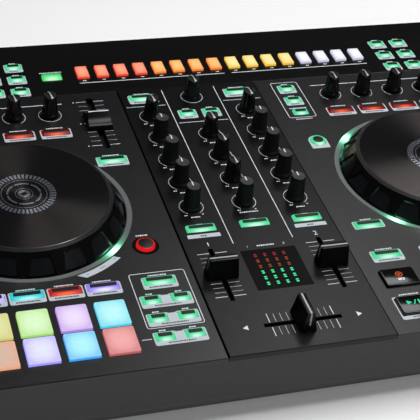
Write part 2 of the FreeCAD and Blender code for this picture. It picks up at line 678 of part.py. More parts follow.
boards = []
deck_board_edges = {
    "left": ("-deck_board_outer", "-deck_board_inner"),
    "right": ("deck_board_inner", "deck_board_outer"),
}
for hand, side in SIDES:
    deck_board = board(f"{hand}_board", *deck_board_edges[hand], "board_front", "board_back", BOARD_TOP)
    hole = disc(f"{hand}_board_hole", f"{side} * jog_x", "jog_y", f"{BOARD_TOP} - 3", "jog_board_hole", "5")
    boards.append(cut(f"{hand}_deck_board", deck_board, hole))
mixer_edges = ("-mixer_board_half", "mixer_board_half", "board_front", "board_back")
boards.append(board("mixer_board", *mixer_edges, BOARD_TOP))
strip_edges = ("-strip_board_half", "strip_board_half", "strip_board_front", "strip_board_back")
boards.append(board("strip_board", *strip_edges, BOARD_TOP))
main_edges = ("main_board_left", "main_board_right", "main_board_front", "main_board_back")
main_board = board("main_plate", *main_edges, "main_board_top")
post_room = disc("main_board_hole", "0", "post_strip", "main_board_top - 3", "post_radius + 1", "5")
boards.append(cut("main_board", main_board, post_room))
phones_edges = ("phones_x - 9", "phones_x + phones_pitch + 9", "4.5", "26")
boards.append(board("phones_board", *phones_edges, "phones_board_top"))
part("circuit_boards", group("circuit_boards", boards + switches))
part("potentiometers", group("potentiometers", pots))


# ---------------------------------------------------------------- checks and files

doc.recompute()
for thing in doc.Objects:
    if "Invalid" in thing.State or "Error" in thing.State:
        raise RuntimeError(f"{thing.Label} failed: {thing.State}")
for thing in parts:
    if thing.Shape.isNull() or not thing.Shape.isValid():
        raise RuntimeError(f"{thing.Label} has no valid shape")
names = [thing.Label for thing in parts]
if len(set(names)) != len(names):
    raise RuntimeError("two parts share a name")

os.makedirs("parts", exist_ok=True)
for thing in parts:
    thing.Shape.exportStep(f"parts/{thing.Label}.step")
whole = Part.makeCompound([thing.Shape for thing in parts]).BoundBox
print(len(parts), "parts", [round(side, 2) for side in (whole.XLength, whole.YLength, whole.ZLength)])
print("low corner", [round(edge, 2) for edge in (whole.XMin, whole.YMin, whole.ZMin)])
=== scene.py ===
"""Looks for the two-deck DJ controller.

Everything is in the frame of the CAD: +Z up, +Y away from the player, +X to the right. The helpers work in
millimetres and each piece's mesh is scaled to metres when it is made. Places come from the CAD nodes.
"""
import json
import math

import bmesh
import bpy
from mathutils import Matrix, Vector
from mathutils.geometry import tessellate_polygon


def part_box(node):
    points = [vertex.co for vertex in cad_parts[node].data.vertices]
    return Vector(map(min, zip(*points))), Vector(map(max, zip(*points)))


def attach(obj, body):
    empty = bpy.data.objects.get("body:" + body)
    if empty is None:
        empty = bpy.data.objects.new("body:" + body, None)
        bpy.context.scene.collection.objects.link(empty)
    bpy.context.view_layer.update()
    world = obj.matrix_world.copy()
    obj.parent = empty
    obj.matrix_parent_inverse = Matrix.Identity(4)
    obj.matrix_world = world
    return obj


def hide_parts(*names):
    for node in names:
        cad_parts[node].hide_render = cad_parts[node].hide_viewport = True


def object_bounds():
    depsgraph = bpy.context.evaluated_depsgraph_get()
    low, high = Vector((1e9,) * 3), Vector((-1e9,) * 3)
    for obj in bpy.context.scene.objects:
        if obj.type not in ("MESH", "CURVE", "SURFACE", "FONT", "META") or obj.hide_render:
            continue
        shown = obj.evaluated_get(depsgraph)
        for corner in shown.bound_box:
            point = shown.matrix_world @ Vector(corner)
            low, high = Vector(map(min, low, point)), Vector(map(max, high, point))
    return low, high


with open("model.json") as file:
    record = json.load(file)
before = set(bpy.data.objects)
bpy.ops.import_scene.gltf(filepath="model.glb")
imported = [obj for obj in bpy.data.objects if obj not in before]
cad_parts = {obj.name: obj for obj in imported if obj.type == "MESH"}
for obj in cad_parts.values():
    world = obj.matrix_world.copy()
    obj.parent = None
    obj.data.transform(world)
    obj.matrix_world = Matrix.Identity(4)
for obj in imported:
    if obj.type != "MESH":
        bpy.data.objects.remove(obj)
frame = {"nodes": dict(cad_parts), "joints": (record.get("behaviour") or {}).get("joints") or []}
cad_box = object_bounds()

MM = 0.001
SINK = 0.02  # how far a printed sheet reaches into what it lies on
PRINT = 0.06  # how far it stands out


def millimetres(corners):
    low, high = corners
    return Vector(low) / MM, Vector(high) / MM


def node_box(node):
    return millimetres(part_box(node))


def node_centre(node):
    low, high = node_box(node)
    return (low + high) / 2


FRONT = millimetres(cad_box)[0].y
DECK_TOP = node_box("left_deck_panel")[1].z
MIXER_TOP = node_box("mixer_panel")[1].z
STRIP_TOP = node_box("sequencer_panel")[1].z


# Shapes

class Shape:
    """One piece's faces, in millimetres: a look for each face, and each point's place in a unit box."""

    def __init__(self):
        self.points = []
        self.faces = []
        self.looks = []
        self.units = []

    def add(self, points, faces, look=0, unit=None):
        start = len(self.points)
        self.points += [tuple(point) for point in points]
        self.units += [unit(point) if unit else (0, 0, 0) for point in points]
        self.faces += [tuple(start + index for index in face) for face in faces]
        self.looks += look if isinstance(look, list) else [look] * len(faces)

    def loft(self, loops, look=0, unit=None, bottom=True, top=True):
        """A skin over loops of equal length that go anticlockwise from above, lowest loop first."""
        count = len(loops[0])
        points = [point for loop in loops for point in loop]
        faces = []
        for here in range(0, (len(loops) - 1) * count, count):
            above = here + count
            for i in range(count):
                after = (i + 1) % count
                faces.append((here + i, here + after, above + after, above + i))
        if bottom:
            faces.append(tuple(reversed(range(count))))
        if top:
            faces.append(tuple(range(len(points) - count, len(points))))
        self.add(points, faces, look, unit)

    def sheet(self, loops, z, thickness=PRINT, look=0):
        """A thin flat plate from a flat outline and its holes, its top face at z + thickness."""
        rings = [[Vector((x, y, 0)) for x, y in loop] for loop in loops]
        flat = [point for ring in rings for point in ring]
        count = len(flat)
        points = [(p.x, p.y, z - SINK) for p in flat] + [(p.x, p.y, z + thickness) for p in flat]
        faces = []
        for a, b, c in tessellate_polygon(rings):
            up = (flat[b] - flat[a]).cross(flat[c] - flat[a]).z > 0
            a, b, c = (a, b, c) if up else (a, c, b)
            faces += [(a + count, b + count, c + count), (a, c, b)]
        start = 0
        for loop in loops:
            size = len(loop)
            outside = (area(loop) > 0) == (start == 0)
            for i in range(size):
                here, after = start + i, start + (i + 1) % size
                wall = (here, after, after + count, here + count)
                faces.append(wall if outside else tuple(reversed(wall)))
            start += size
        self.add(points, faces, look)


def area(loop):
    return sum(x0 * y1 - x1 * y0 for (x0, y0), (x1, y1) in zip(loop, loop[1:] + loop[:1])) / 2


def make_piece(name, shape, body, looks, replaced=(), crease=30, bevel=0):
    """One mesh object from a shape: it rides on a CAD body and may stand for CAD nodes."""
    mesh = bpy.data.meshes.new(name)
    mesh.from_pydata([Vector(point) * MM for point in shape.points], [], shape.faces)
    for look in looks:
        mesh.materials.append(look)
    mesh.polygons.foreach_set("material_index", shape.looks)
    unit = mesh.attributes.new("unit", "FLOAT_VECTOR", "POINT")
    unit.data.foreach_set("vector", [value for point in shape.units for value in point])
    mesh.shade_smooth()
    mesh.set_sharp_from_angle(angle=math.radians(crease))
    mesh.validate()
    piece = bpy.data.objects.new(name, mesh)
    bpy.context.scene.collection.objects.link(piece)
    if bevel:
        rounding = piece.modifiers.new("edges", "BEVEL")
        rounding.width = bevel * MM
        rounding.segments = 2
        rounding.limit_method = "ANGLE"
        rounding.angle_limit = math.radians(35)
        rounding.harden_normals = True
    if replaced:
        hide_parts(*replaced)
    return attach(piece, body)


def arc(cx, cy, radius, start, end, steps):
    """Points of an arc from one angle to another, in degrees."""
    angles = [math.radians(start + (end - start) * i / steps) for i in range(steps + 1)]
    return [(cx + radius * math.cos(a), cy + radius * math.sin(a)) for a in angles]


def circle(cx, cy, radius, steps=48):
    return arc(cx, cy, radius, 0, 360, steps)[:-1]


def rounded_rectangle(cx, cy, width, depth, radius, steps=4):
    dx, dy = width / 2 - radius, depth / 2 - radius
    corners = ((dx, dy, 0), (-dx, dy, 90), (-dx, -dy, 180), (dx, -dy, 270))
    return [p for x, y, turn in corners for p in arc(cx + x, cy + y, radius, turn, turn + 90, steps)]


def box_loop(x, y, width, depth):
    dx, dy = width / 2, depth / 2
    return [(x - dx, y - dy), (x + dx, y - dy), (x + dx, y + dy), (x - dx, y + dy)]


def rounded_outline(corners, radius):
    """A polygon with each of its corners rounded, whichever way the corner turns."""
    points = []
    for i, corner in enumerate(corners):
        here = Vector(corner)
        following = Vector(corners[(i + 1) % len(corners)]) - here
        before, after = (Vector(corners[i - 1]) - here).normalized(), following.normalized()
        half = before.angle(after) / 2
        reach = min(radius / math.tan(half), 0.49 * following.length)
        start, end = here + before * reach, here + after * reach
        for step in range(4):
            t = step / 3
            curve = start * (1 - t) ** 2 + here * 2 * t * (1 - t) + end * t * t
            points.append((curve.x, curve.y))
    return points


def at_height(loop, z):
    return [(x, y, z) for x, y in loop]


def turned_loops(cx, cy, profile, steps):
    """Loops of a turned shape from (radius, height) pairs, lowest first."""
    return [at_height(circle(cx, cy, radius, steps), z) for radius, z in profile]


def solid_boxes(node):
    """The box of each separate solid in a CAD node, front row first, then from left to right."""
    mesh = bmesh.new()
    mesh.from_mesh(frame["nodes"][node].data)
    bmesh.ops.remove_doubles(mesh, verts=mesh.verts, dist=1e-6)
    seen = set()
    boxes = []
    for vert in mesh.verts:
        if vert in seen:
            continue
        group = [vert]
        seen.add(vert)
        for item in group:
            for edge in item.link_edges:
                other = edge.other_vert(item)
                if other not in seen:
                    seen.add(other)
                    group.append(other)
        low = Vector([min(v.co[axis] for v in group) for axis in range(3)]) / MM
        high = Vector([max(v.co[axis] for v in group) for axis in range(3)]) / MM
        boxes.append((low, high))
    mesh.free()
    return sorted(boxes, key=lambda box: (round((box[0].y + box[1].y) / 4), box[0].x))


# Materials

class Nodes:
    """A material's node tree with short calls for adding and joining nodes."""

    def __init__(self, name):
        self.material = bpy.data.materials.new(name)
        self.material.use_nodes = True
        self.tree = self.material.node_tree
        self.shader = self.tree.nodes["Principled BSDF"]

    def add(self, kind, links=(), **settings):
        node = self.tree.nodes.new("ShaderNode" + kind)
        for key, value in settings.items():
            setattr(node, key, value)
        for socket, source in dict(links).items():
            self.link(source, node.inputs[socket])
        return node

    def link(self, source, socket):
        if hasattr(source, "outputs"):
            source = source.outputs[0]
        if hasattr(source, "is_output"):
            self.tree.links.new(source, socket)
        else:
            socket.default_value = source

    def math(self, operation, a, b=0.0, clamp=False):
        return self.add("Math", {0: a, 1: b}, operation=operation, use_clamp=clamp)

    def place(self):
        return self.add("TexCoord").outputs["Object"]

    def noise(self, scale, detail=3, roughness=0.5, vector=None):
        links = {"Vector": vector or self.place(), "Scale": scale, "Detail": detail, "Roughness": roughness}
        return self.add("TexNoise", links).outputs["Fac"]

    def between(self, factor, low, high):
        """A value that goes from low to high as the factor goes from 0 to 1."""
        return self.add("MapRange", {"Value": factor, "To Min": low, "To Max": high}).outputs["Result"]

    def blend(self, factor, first, second):
        node = self.add("Mix", data_type="RGBA")
        self.link(factor, node.inputs["Factor"])
        self.link(first, node.inputs[6])
        self.link(second, node.inputs[7])
        return node.outputs[2]

    def set(self, **values):
        for socket, value in values.items():
            self.link(value, self.shader.inputs[socket.replace("_", " ")])
        return self.material


    def around(self, centre):
        """X and Y measured from a centre given in millimetres."""
        shifted = self.add("VectorMath", {0: self.place(), 1: tuple(-centre * MM)}, operation="ADD")
        return self.add("SeparateXYZ", {0: shifted}).outputs[:2]

    def bump(self, strength, scale, distance=0.0002, detail=2):
        """A fine grain over the surface."""
        links = {"Strength": strength, "Distance": distance, "Height": self.noise(scale, detail)}
        return self.add("Bump", links)


def shade(colour, factor):
    return (colour[0] * factor, colour[1] * factor, colour[2] * factor, 1)


def moulded(name, colour, roughness, grain=0.06, grain_scale=2600, specular=0.5, metallic=0.0):
    """Moulded or painted surface: mottled a little in colour and gloss, fine-grained, with its convex edges
    painted lighter, as wear and as a painted edge highlight.
    """
    nodes = Nodes(name)
    body = nodes.blend(nodes.noise(38, 4), shade(colour, 0.88), shade(colour, 1.12))
    # Convex edges are painted lighter: rubbed wear, and also a painted highlight where edges catch the light.
    edge = nodes.add("NewGeometry").outputs["Pointiness"]
    worn_and_highlit_edge = nodes.add("MapRange", {"Value": edge, "From Min": 0.53, "From Max": 0.62}, clamp=True)
    tone = nodes.blend(nodes.math("MULTIPLY", worn_and_highlit_edge, 0.35), body, shade(colour, 2.2))
    gloss = nodes.between(nodes.noise(160, 3), roughness - 0.05, roughness + 0.05)
    nodes.set(Base_Color=tone, Roughness=gloss, Normal=nodes.bump(grain, grain_scale))
    return nodes.set(Specular_IOR_Level=specular, Metallic=metallic)


def socket_look(name, wall):
    """Black mouldings behind a wall, and plated metal where they stand out past it."""
    nodes = Nodes(name)
    split = nodes.add("SeparateXYZ", {0: nodes.place()})
    out = nodes.math("GREATER_THAN", split.outputs[1], wall * MM)
    tone = nodes.noise(120, 3)
    black = nodes.blend(tone, (0.008, 0.008, 0.0085, 1), (0.012, 0.012, 0.0125, 1))
    metal = nodes.blend(tone, (0.56, 0.55, 0.52, 1), (0.64, 0.63, 0.6, 1))
    nodes.set(Base_Color=nodes.blend(out, black, metal), Metallic=out, Normal=nodes.bump(0.08, 2200))
    return nodes.set(Roughness=nodes.between(out, 0.45, 0.22))


def printed(name, colour, roughness=0.5):
    """Screen-printed ink: a thin, slightly uneven layer."""
    nodes = Nodes(name)
    ink = nodes.blend(nodes.noise(900, 3), shade(colour, 0.9), shade(colour, 1.04))
    return nodes.set(Base_Color=ink, Roughness=roughness, Normal=nodes.bump(0.08, 3000, 0.0001))


def glowing(nodes, factor, low, high, roughness):
    """Finish a lit material: its light goes from one colour to another, with a slightly cloudy lens."""
    cloud = nodes.between(nodes.noise(420, 3), 0.92, 1.08)
    glow = nodes.blend(factor, (*low, 1), (*high, 1))
    nodes.set(Base_Color=nodes.blend(factor, shade(low, 0.05), shade(high, 0.02)), Emission_Color=glow)
    nodes.set(Emission_Strength=cloud, Roughness=roughness, Specular_IOR_Level=0.1)
    return nodes.set(Normal=nodes.bump(0.04, 1800))


def unit_parts(nodes):
    """The unit attribute: -1 to 1 across a cap, -1 to 1 from its front to its back, and 0 to 1 upwards."""
    split = nodes.add("SeparateXYZ", {0: nodes.add("Attribute", attribute_name="unit").outputs["Vector"]})
    return (split.outputs[i] for i in range(3))


def lit_cap(name, edge, middle, spread=1.3, back=-0.3):
    """A translucent cap with its lamp behind the front slope: white-hot there, coloured elsewhere."""
    nodes = Nodes(name)
    across, along, _ = unit_parts(nodes)
    centred = nodes.math("SUBTRACT", 1.0, nodes.math("MULTIPLY", across, across), clamp=True)
    front = nodes.add("MapRange", {"Value": along, "From Min": back, "From Max": -0.8}, clamp=True)
    front.interpolation_type = "SMOOTHSTEP"
    hot = nodes.math("MULTIPLY", nodes.math("POWER", centred, spread), front, clamp=True)
    return glowing(nodes, nodes.math("POWER", hot, 1.6), edge, middle, 0.3)


def lit_pad(name, edge, middle):
    """A silicone pad over a lamp: pale in the middle, with its full colour along its rim and sides."""
    nodes = Nodes(name)
    across, along, up = unit_parts(nodes)
    sizes = [nodes.math("ABSOLUTE", part) for part in (across, along)]
    fade = nodes.math("ADD", *[nodes.math("POWER", size, 2.5) for size in sizes], clamp=True)
    rim = nodes.math("ADD", *[nodes.math("POWER", size, 34.0) for size in sizes], clamp=True)
    side = nodes.add("MapRange", {"Value": up, "From Min": 0.98, "From Max": 0.9}, clamp=True)
    full = nodes.math("MAXIMUM", nodes.math("MAXIMUM", rim, side), nodes.math("MULTIPLY", fade, 0.5))
    return glowing(nodes, nodes.math("SUBTRACT", 1.0, full, clamp=True), edge, middle, 0.5)


def lamp(name, colour):
    """A small light-emitting segment with a slightly cloudy lens."""
    nodes = Nodes(name)
    return glowing(nodes, nodes.noise(700, 2), shade(colour, 0.85)[:3], shade(colour, 1.15)[:3], 0.3)


def spun(nodes, strength):
    """Give a round surface the fanned sheen of circular turning marks."""
    nodes.set(Tangent=nodes.add("Tangent", direction_type="RADIAL", axis="Z"))
    return nodes.set(Anisotropic=strength, Anisotropic_Rotation=0.25)


def foil(name, colour):
    """Polished foil with circular brushing."""
    nodes = Nodes(name)
    spun(nodes, 0.85)
    tone = nodes.blend(nodes.noise(500, 3), shade(colour, 0.92), shade(colour, 1.08))
    return nodes.set(Base_Color=tone, Roughness=0.25, Metallic=0.85, Normal=nodes.bump(0.05, 2600, 0.0001))


def turntable_top(name, centre):
    """Fine circular turning marks round the jog wheel's centre, with the fanned sheen that they give."""
    nodes = Nodes(name)
    squares = [nodes.math("MULTIPLY", part, part) for part in nodes.around(centre)]
    radius = nodes.math("SQRT", nodes.math("ADD", *squares))
    ring = nodes.add("CombineXYZ", {0: radius})
    grooves = nodes.noise(4200, 3, 0.7, vector=ring.outputs[0])
    bump = nodes.add("Bump", {"Strength": 0.12, "Distance": 0.0001, "Height": grooves})
    spun(nodes, 0.9)
    colour = nodes.blend(grooves, (0.003, 0.003, 0.0035, 1), (0.006, 0.0058, 0.0066, 1))
    nodes.set(Base_Color=colour, Normal=bump, Roughness=nodes.between(grooves, 0.2, 0.26))
    return nodes.set(Specular_Tint=(1.0, 0.86, 0.8, 1), Specular_IOR_Level=0.75)


def light_guide(name, centre):
    """The frosted ring round a jog wheel, with four lamps under it that make green hot spots."""
    nodes = Nodes(name)
    x, y = nodes.around(centre)
    angle = nodes.math("ARCTAN2", y, x)
    wave = nodes.math("COSINE", nodes.math("MULTIPLY", nodes.math("SUBTRACT", angle, math.pi / 4), 4.0))
    near = nodes.add("MapRange", {"Value": wave, "From Min": -1.0, "From Max": 1.0})
    halo = nodes.math("POWER", near, 9.0)
    spot = nodes.math("POWER", near, 60.0)
    haze = nodes.blend(halo, (0.0, 0.0, 0.0, 1), (0.015, 0.42, 0.17, 1))
    glow = nodes.blend(spot, haze, (1.3, 4.5, 2.6, 1))
    body = nodes.blend(nodes.noise(60, 3), (0.1, 0.105, 0.11, 1), (0.125, 0.131, 0.137, 1))
    nodes.set(Base_Color=body, Emission_Color=glow, Emission_Strength=1.0, Normal=nodes.bump(0.1, 1500))
    return nodes.set(Roughness=0.4)


DECK = moulded("deck_satin", (0.003, 0.003, 0.0037), 0.355)
MIXER = moulded("mixer_satin", (0.0018, 0.0018, 0.0022), 0.33, specular=0.25)
STRIP = moulded("strip_gloss", (0.003, 0.003, 0.0032), 0.2, grain=0.01)
CASE = moulded("case_grain", (0.01, 0.01, 0.011), 0.5, grain=0.25, grain_scale=1500)
KNOB = moulded("knob_satin", (0.0028, 0.0028, 0.003), 0.42)
# The flat knob tops are made much lighter than the knob sides: painted light, as if lit from above.
KNOB_TOP_PAINTED_LIT = moulded("knob_top", (0.022, 0.0225, 0.024), 0.5, grain=0.1)
KNOB_GLOSS = moulded("knob_gloss", (0.0022, 0.0022, 0.0024), 0.22, grain=0.02)
KNOB_CROWN = moulded("knob_crown", (0.003, 0.003, 0.0032), 0.5, specular=0.12)
FADER = moulded("fader_satin", (0.0026, 0.0026, 0.0028), 0.3, grain=0.04, specular=0.16)
GLOSS = moulded("black_gloss", (0.0022, 0.0022, 0.0024), 0.13, grain=0.01)
RECESS = moulded("recess_satin", (0.006, 0.007, 0.0078), 0.2, grain=0.03)
SMOKE = moulded("smoked_window", (0.0012, 0.0012, 0.0012), 0.3, grain=0.01, specular=0.04)
# A near-black matte ring drawn flat round the round buttons: painted shade of a dished recess.
WELL_SHADE = moulded("button_well_shade", (0.001, 0.001, 0.001), 0.6, specular=0.05)
INLAY = moulded("inlay_black", (0.01, 0.0085, 0.0075), 0.38, specular=0.3)
RUBBER = moulded("rubber", (0.012, 0.012, 0.012), 0.75, grain=0.4, grain_scale=1200)
ZINC = moulded("zinc_plate", (0.5, 0.5, 0.52), 0.3, metallic=1.0)
SOCKETS = socket_look("socket_parts", node_box("sequencer_panel")[1].y - 10.3)
BOARD = moulded("lacquered_board", (0.01, 0.09, 0.04), 0.35)
BODY_BLACK = moulded("moulded_black", (0.003, 0.003, 0.0033), 0.5, specular=0.2)
WHITE_INK = printed("white_ink", (0.72, 0.75, 0.78))
GREY_INK = printed("grey_ink", (0.5, 0.545, 0.59))
DARK_INK = printed("dark_ink", (0.03, 0.033, 0.037))
POINTER = printed("pointer_white", (0.75, 0.75, 0.75), 0.4)
POINTER_GREY = printed("pointer_grey", (0.46, 0.47, 0.49), 0.4)
FADER_LINE = printed("fader_line", (0.36, 0.39, 0.43), 0.35)
SILVER = foil("silver_foil", (0.4, 0.43, 0.5))
PLATE_EDGE = moulded("plate_edge", (0.3, 0.3, 0.32), 0.3, grain=0.02, metallic=1.0)

MINT = lit_cap("mint_cap", (0.075, 0.66, 0.31), (0.55, 1.05, 0.78), spread=2.0)
RED = lit_cap("red_cap", (0.17, 0.002, 0.003), (1.0, 0.1, 0.025), spread=2.2)
WHITE = lit_cap("white_cap", (0.5, 0.46, 0.99), (1.05, 1.05, 1.15), spread=1.8)
CYAN = lit_cap("cyan_cap", (0.03, 0.58, 0.65), (0.36, 0.97, 1.0))
VIOLET = lit_cap("violet_cap", (0.3, 0.23, 0.84), (0.8, 0.78, 1.1))
BRIGHT_RED = lit_cap("bright_red_cap", (0.5, 0.012, 0.014), (1.0, 0.13, 0.03))
START = lit_cap("start_cap", (0.03, 0.62, 0.12), (0.5, 1.0, 0.6), spread=0.7, back=0.9)
RED_RING = lamp("red_ring", (0.68, 0.01, 0.013))


# Printing on the panels

class Print:
    """Everything that is printed on one panel in three inks, and the painted shade of the wells round its
    round buttons.
    """

    def __init__(self, panel, z):
        self.panel = panel
        self.z = z
        self.white, self.grey, self.dark, self.well = Shape(), Shape(), Shape(), Shape()

    def bar(self, ink, x, away, width, depth, lift=0.0):
        ink.sheet([box_loop(x, away + FRONT, width, depth)], self.z + lift)

    def line(self, x0, x1, away, width=0.55):
        self.bar(self.white, (x0 + x1) / 2, away, abs(x1 - x0), width)

    def frame(self, x0, x1, away0, away1):
        cx, cy, width, depth = (x0 + x1) / 2, (away0 + away1) / 2 + FRONT, x1 - x0, away1 - away0
        outer = rounded_rectangle(cx, cy, width, depth, 2.0)
        self.white.sheet([outer, rounded_rectangle(cx, cy, width - 1, depth - 1, 1.5)], self.z)

    def ring(self, x, away, gap):
        """A dial's arc, open towards the player by the gap, or closed when the gap is 0."""
        y = away + FRONT
        outer, inner = 9.0, 8.66
        loops = [circle(x, y, outer), circle(x, y, inner)]
        if gap:
            start, end = -90 + gap / 2, 270 - gap / 2
            loops = [arc(x, y, outer, start, end, 44) + arc(x, y, inner, end, start, 44)]
        self.white.sheet(loops, self.z)

    def label(self, x, away, width, height=1.15, dark=False):
        """A row of plain dashes where the real panel has a caption: white, or dark on a light plate."""
        ink, lift = (self.dark, PRINT) if dark else (self.white, 0.0)
        lengths = (1.3, 0.8, 1.5, 1.0, 0.6, 1.2, 0.9)
        place = -width / 2
        number = int(width * 7) % len(lengths)
        while place < width / 2 - 0.4:
            length = min(lengths[number % len(lengths)], width / 2 - place)
            self.bar(ink, x + place + length / 2, away, length, height, lift)
            place += length + 0.4
            number += 1

    def plate(self, corners, holes):
        """A light plate behind buttons, with an opening for each cap."""
        outline = rounded_outline([(x, away + FRONT) for x, away in corners], 1.6)
        self.grey.sheet([outline] + holes, self.z)

    def finish(self):
        for name, look in (("white", WHITE_INK), ("grey", GREY_INK), ("dark", DARK_INK), ("well", WELL_SHADE)):
            shape = getattr(self, name)
            if shape.faces:
                make_piece(f"{self.panel}_{name}_print", shape, "chassis", [look])


deck_prints = {side: Print(f"{side}_deck", DECK_TOP) for side in ("left", "right")}
mixer_print = Print("mixer", MIXER_TOP)
strip_print = Print("strip", STRIP_TOP)


# Buttons

CAP_SLOPE = 1.3
CAP_FRONT_SLOPE = 2.1
CAP_BACK_SLOPE = 0.9
PLATE_SIDE = 1.3
PLATE_BACK = 4.5
PLATE_FRONT = 7.6
HOLE_GAP = 0.35
CAPTION_BACK = 5.9  # from a cap's middle to the caption behind it
CAPTION_FRONT = 5.7  # and to the one in front of it
PAD_ZONE = 100  # how far from the player the keys beside the pads end
SWITCH_ZONE = 150  # where the shift key and the deck switch end
BACK_ZONE = 200  # where the keys behind the wheel's middle begin
EFFECT_ZONE = 250  # where the effect keys begin
SWITCH_RING = 1.1  # the lit part of a round cap's top, in from its edge
SLIP_RING = 1.9


class Cap:
    """One button cap's box from the CAD, with handy sizes."""

    def __init__(self, box):
        self.low, self.high = box
        self.x = (self.low.x + self.high.x) / 2
        self.y = (self.low.y + self.high.y) / 2
        self.away = self.y - FRONT
        self.width = self.high.x - self.low.x
        self.depth = self.high.y - self.low.y
        self.wide = self.width > 20
        self.round = abs(self.width - self.depth) < 0.5

    def unit(self, point):
        up = (point[2] - self.low.z) / (self.high.z - self.low.z)
        return (2 * (point[0] - self.x) / self.width, 2 * (point[1] - self.y) / self.depth, up)

    def hole(self):
        if self.round:
            return circle(self.x, self.y, self.width / 2 + HOLE_GAP, 32)
        return rounded_rectangle(self.x, self.y, self.width + 2 * HOLE_GAP, self.depth + 2 * HOLE_GAP, 0.9)


def bar_cap(shape, inlays, cap, look, panel_top):
    """A wedge-sided cap, its front face the widest slope, with a black inlay in its top."""
    top_y = cap.y + (CAP_FRONT_SLOPE - CAP_BACK_SLOPE) / 2
    top_width = cap.width - 2 * CAP_SLOPE
    top_depth = cap.depth - CAP_FRONT_SLOPE - CAP_BACK_SLOPE
    high = cap.high.z
    foot = rounded_rectangle(cap.x, cap.y, cap.width, cap.depth, 0.7)
    shoulder = rounded_rectangle(cap.x, top_y, top_width + 0.3, top_depth + 0.3, 0.5)
    crown = rounded_rectangle(cap.x, top_y, top_width, top_depth, 0.4)
    loops = [(foot, cap.low.z), (foot, panel_top + 0.5), (shoulder, high - 0.12), (crown, high)]
    shape.loft([at_height(loop, z) for loop, z in loops], look, cap.unit)
    inlay = rounded_rectangle(cap.x, top_y - 0.05, top_width - 0.8, top_depth - 0.6, 0.3)
    inlays.loft([at_height(inlay, high - 0.2), at_height(inlay, high + 0.05)])


def round_cap(shape, inlays, cap, look, ring):
    """A round cap with a wide slope and a black disc in its top."""
    radius, high = cap.width / 2, cap.high.z
    inner = radius - ring
    profile = [(radius, cap.low.z), (radius, high - 0.9), (radius - 0.3, high - 0.35)]
    profile += [(inner + 0.2, high), (inner, high)]
    shape.loft(turned_loops(cap.x, cap.y, profile, 40), look, cap.unit)
    disc = [(inner - 0.1, high - 0.3), (inner - 0.1, high + 0.02), (inner - 0.35, high + 0.1)]
    inlays.loft(turned_loops(cap.x, cap.y, disc, 40))


def make_caps(name, node, shape, inlays, looks):
    """The caps of one CAD node, and the black inlays in their tops."""
    make_piece(f"{name}_caps", shape, node, looks, [node], crease=25)
    make_piece(f"{name}_cap_inlays", inlays, node, [INLAY], bevel=0.04)


def captions(sheet, cap):
    """The dashes behind a cap and, on its plate, in front of it."""
    behind, before = (0.6, 0.75) if cap.wide else (0.42, 0.58)
    sheet.label(cap.x, cap.away + CAPTION_BACK, cap.width * behind)
    sheet.label(cap.x, cap.away - CAPTION_FRONT, cap.width * before, dark=True)


def single_plate(sheet, cap, front=PLATE_FRONT, captioned=True):
    away = cap.away + (PLATE_BACK - front) / 2
    sheet.plate(box_loop(cap.x, away, cap.width + 2 * PLATE_SIDE, PLATE_BACK + front), [cap.hole()])
    if captioned:
        captions(sheet, cap)


def pair_plate(sheet, left, right):
    """One plate behind two small caps, cut lower between them."""
    front_away, back_away = left.away - PLATE_FRONT, left.away + PLATE_BACK
    dip = back_away - 0.9
    outer = left.width / 2 + PLATE_SIDE
    inner = left.width / 2 + 0.5
    notch = inner + 1.2
    corners = [(left.x - outer, front_away), (right.x + outer, front_away), (right.x + outer, back_away),
               (right.x - inner, back_away), (right.x - notch, dip), (left.x + notch, dip),
               (left.x + inner, back_away), (left.x - outer, back_away)]
    sheet.plate(corners, [left.hole(), right.hole()])
    for cap in (left, right):
        sheet.label(cap.x, cap.away + CAPTION_BACK, cap.width * 0.4)
    sheet.label((left.x + right.x) / 2, left.away - CAPTION_FRONT, 18, dark=True)


def slip_plate(sheet, cap):
    """A plate with a round back and a straight front."""
    radius, corner = cap.width / 2 + PLATE_SIDE, 1.2
    front_y, side = cap.y - 9.6 + corner, radius - corner
    outline = arc(cap.x, cap.y, radius, 0, 180, 24)
    outline += arc(cap.x - side, front_y, corner, 180, 270, 4)
    outline += arc(cap.x + side, front_y, corner, 270, 360, 4)
    sheet.grey.sheet([outline, cap.hole()], sheet.z)
    captions(sheet, cap)


def well(sheet, cap):
    """A flat dark ring round a round button: painted shade of the dished recess that it stands in."""
    radius = cap.width / 2
    sheet.well.sheet([circle(cap.x, cap.y, radius + 2.9), circle(cap.x, cap.y, radius + HOLE_GAP)], sheet.z)


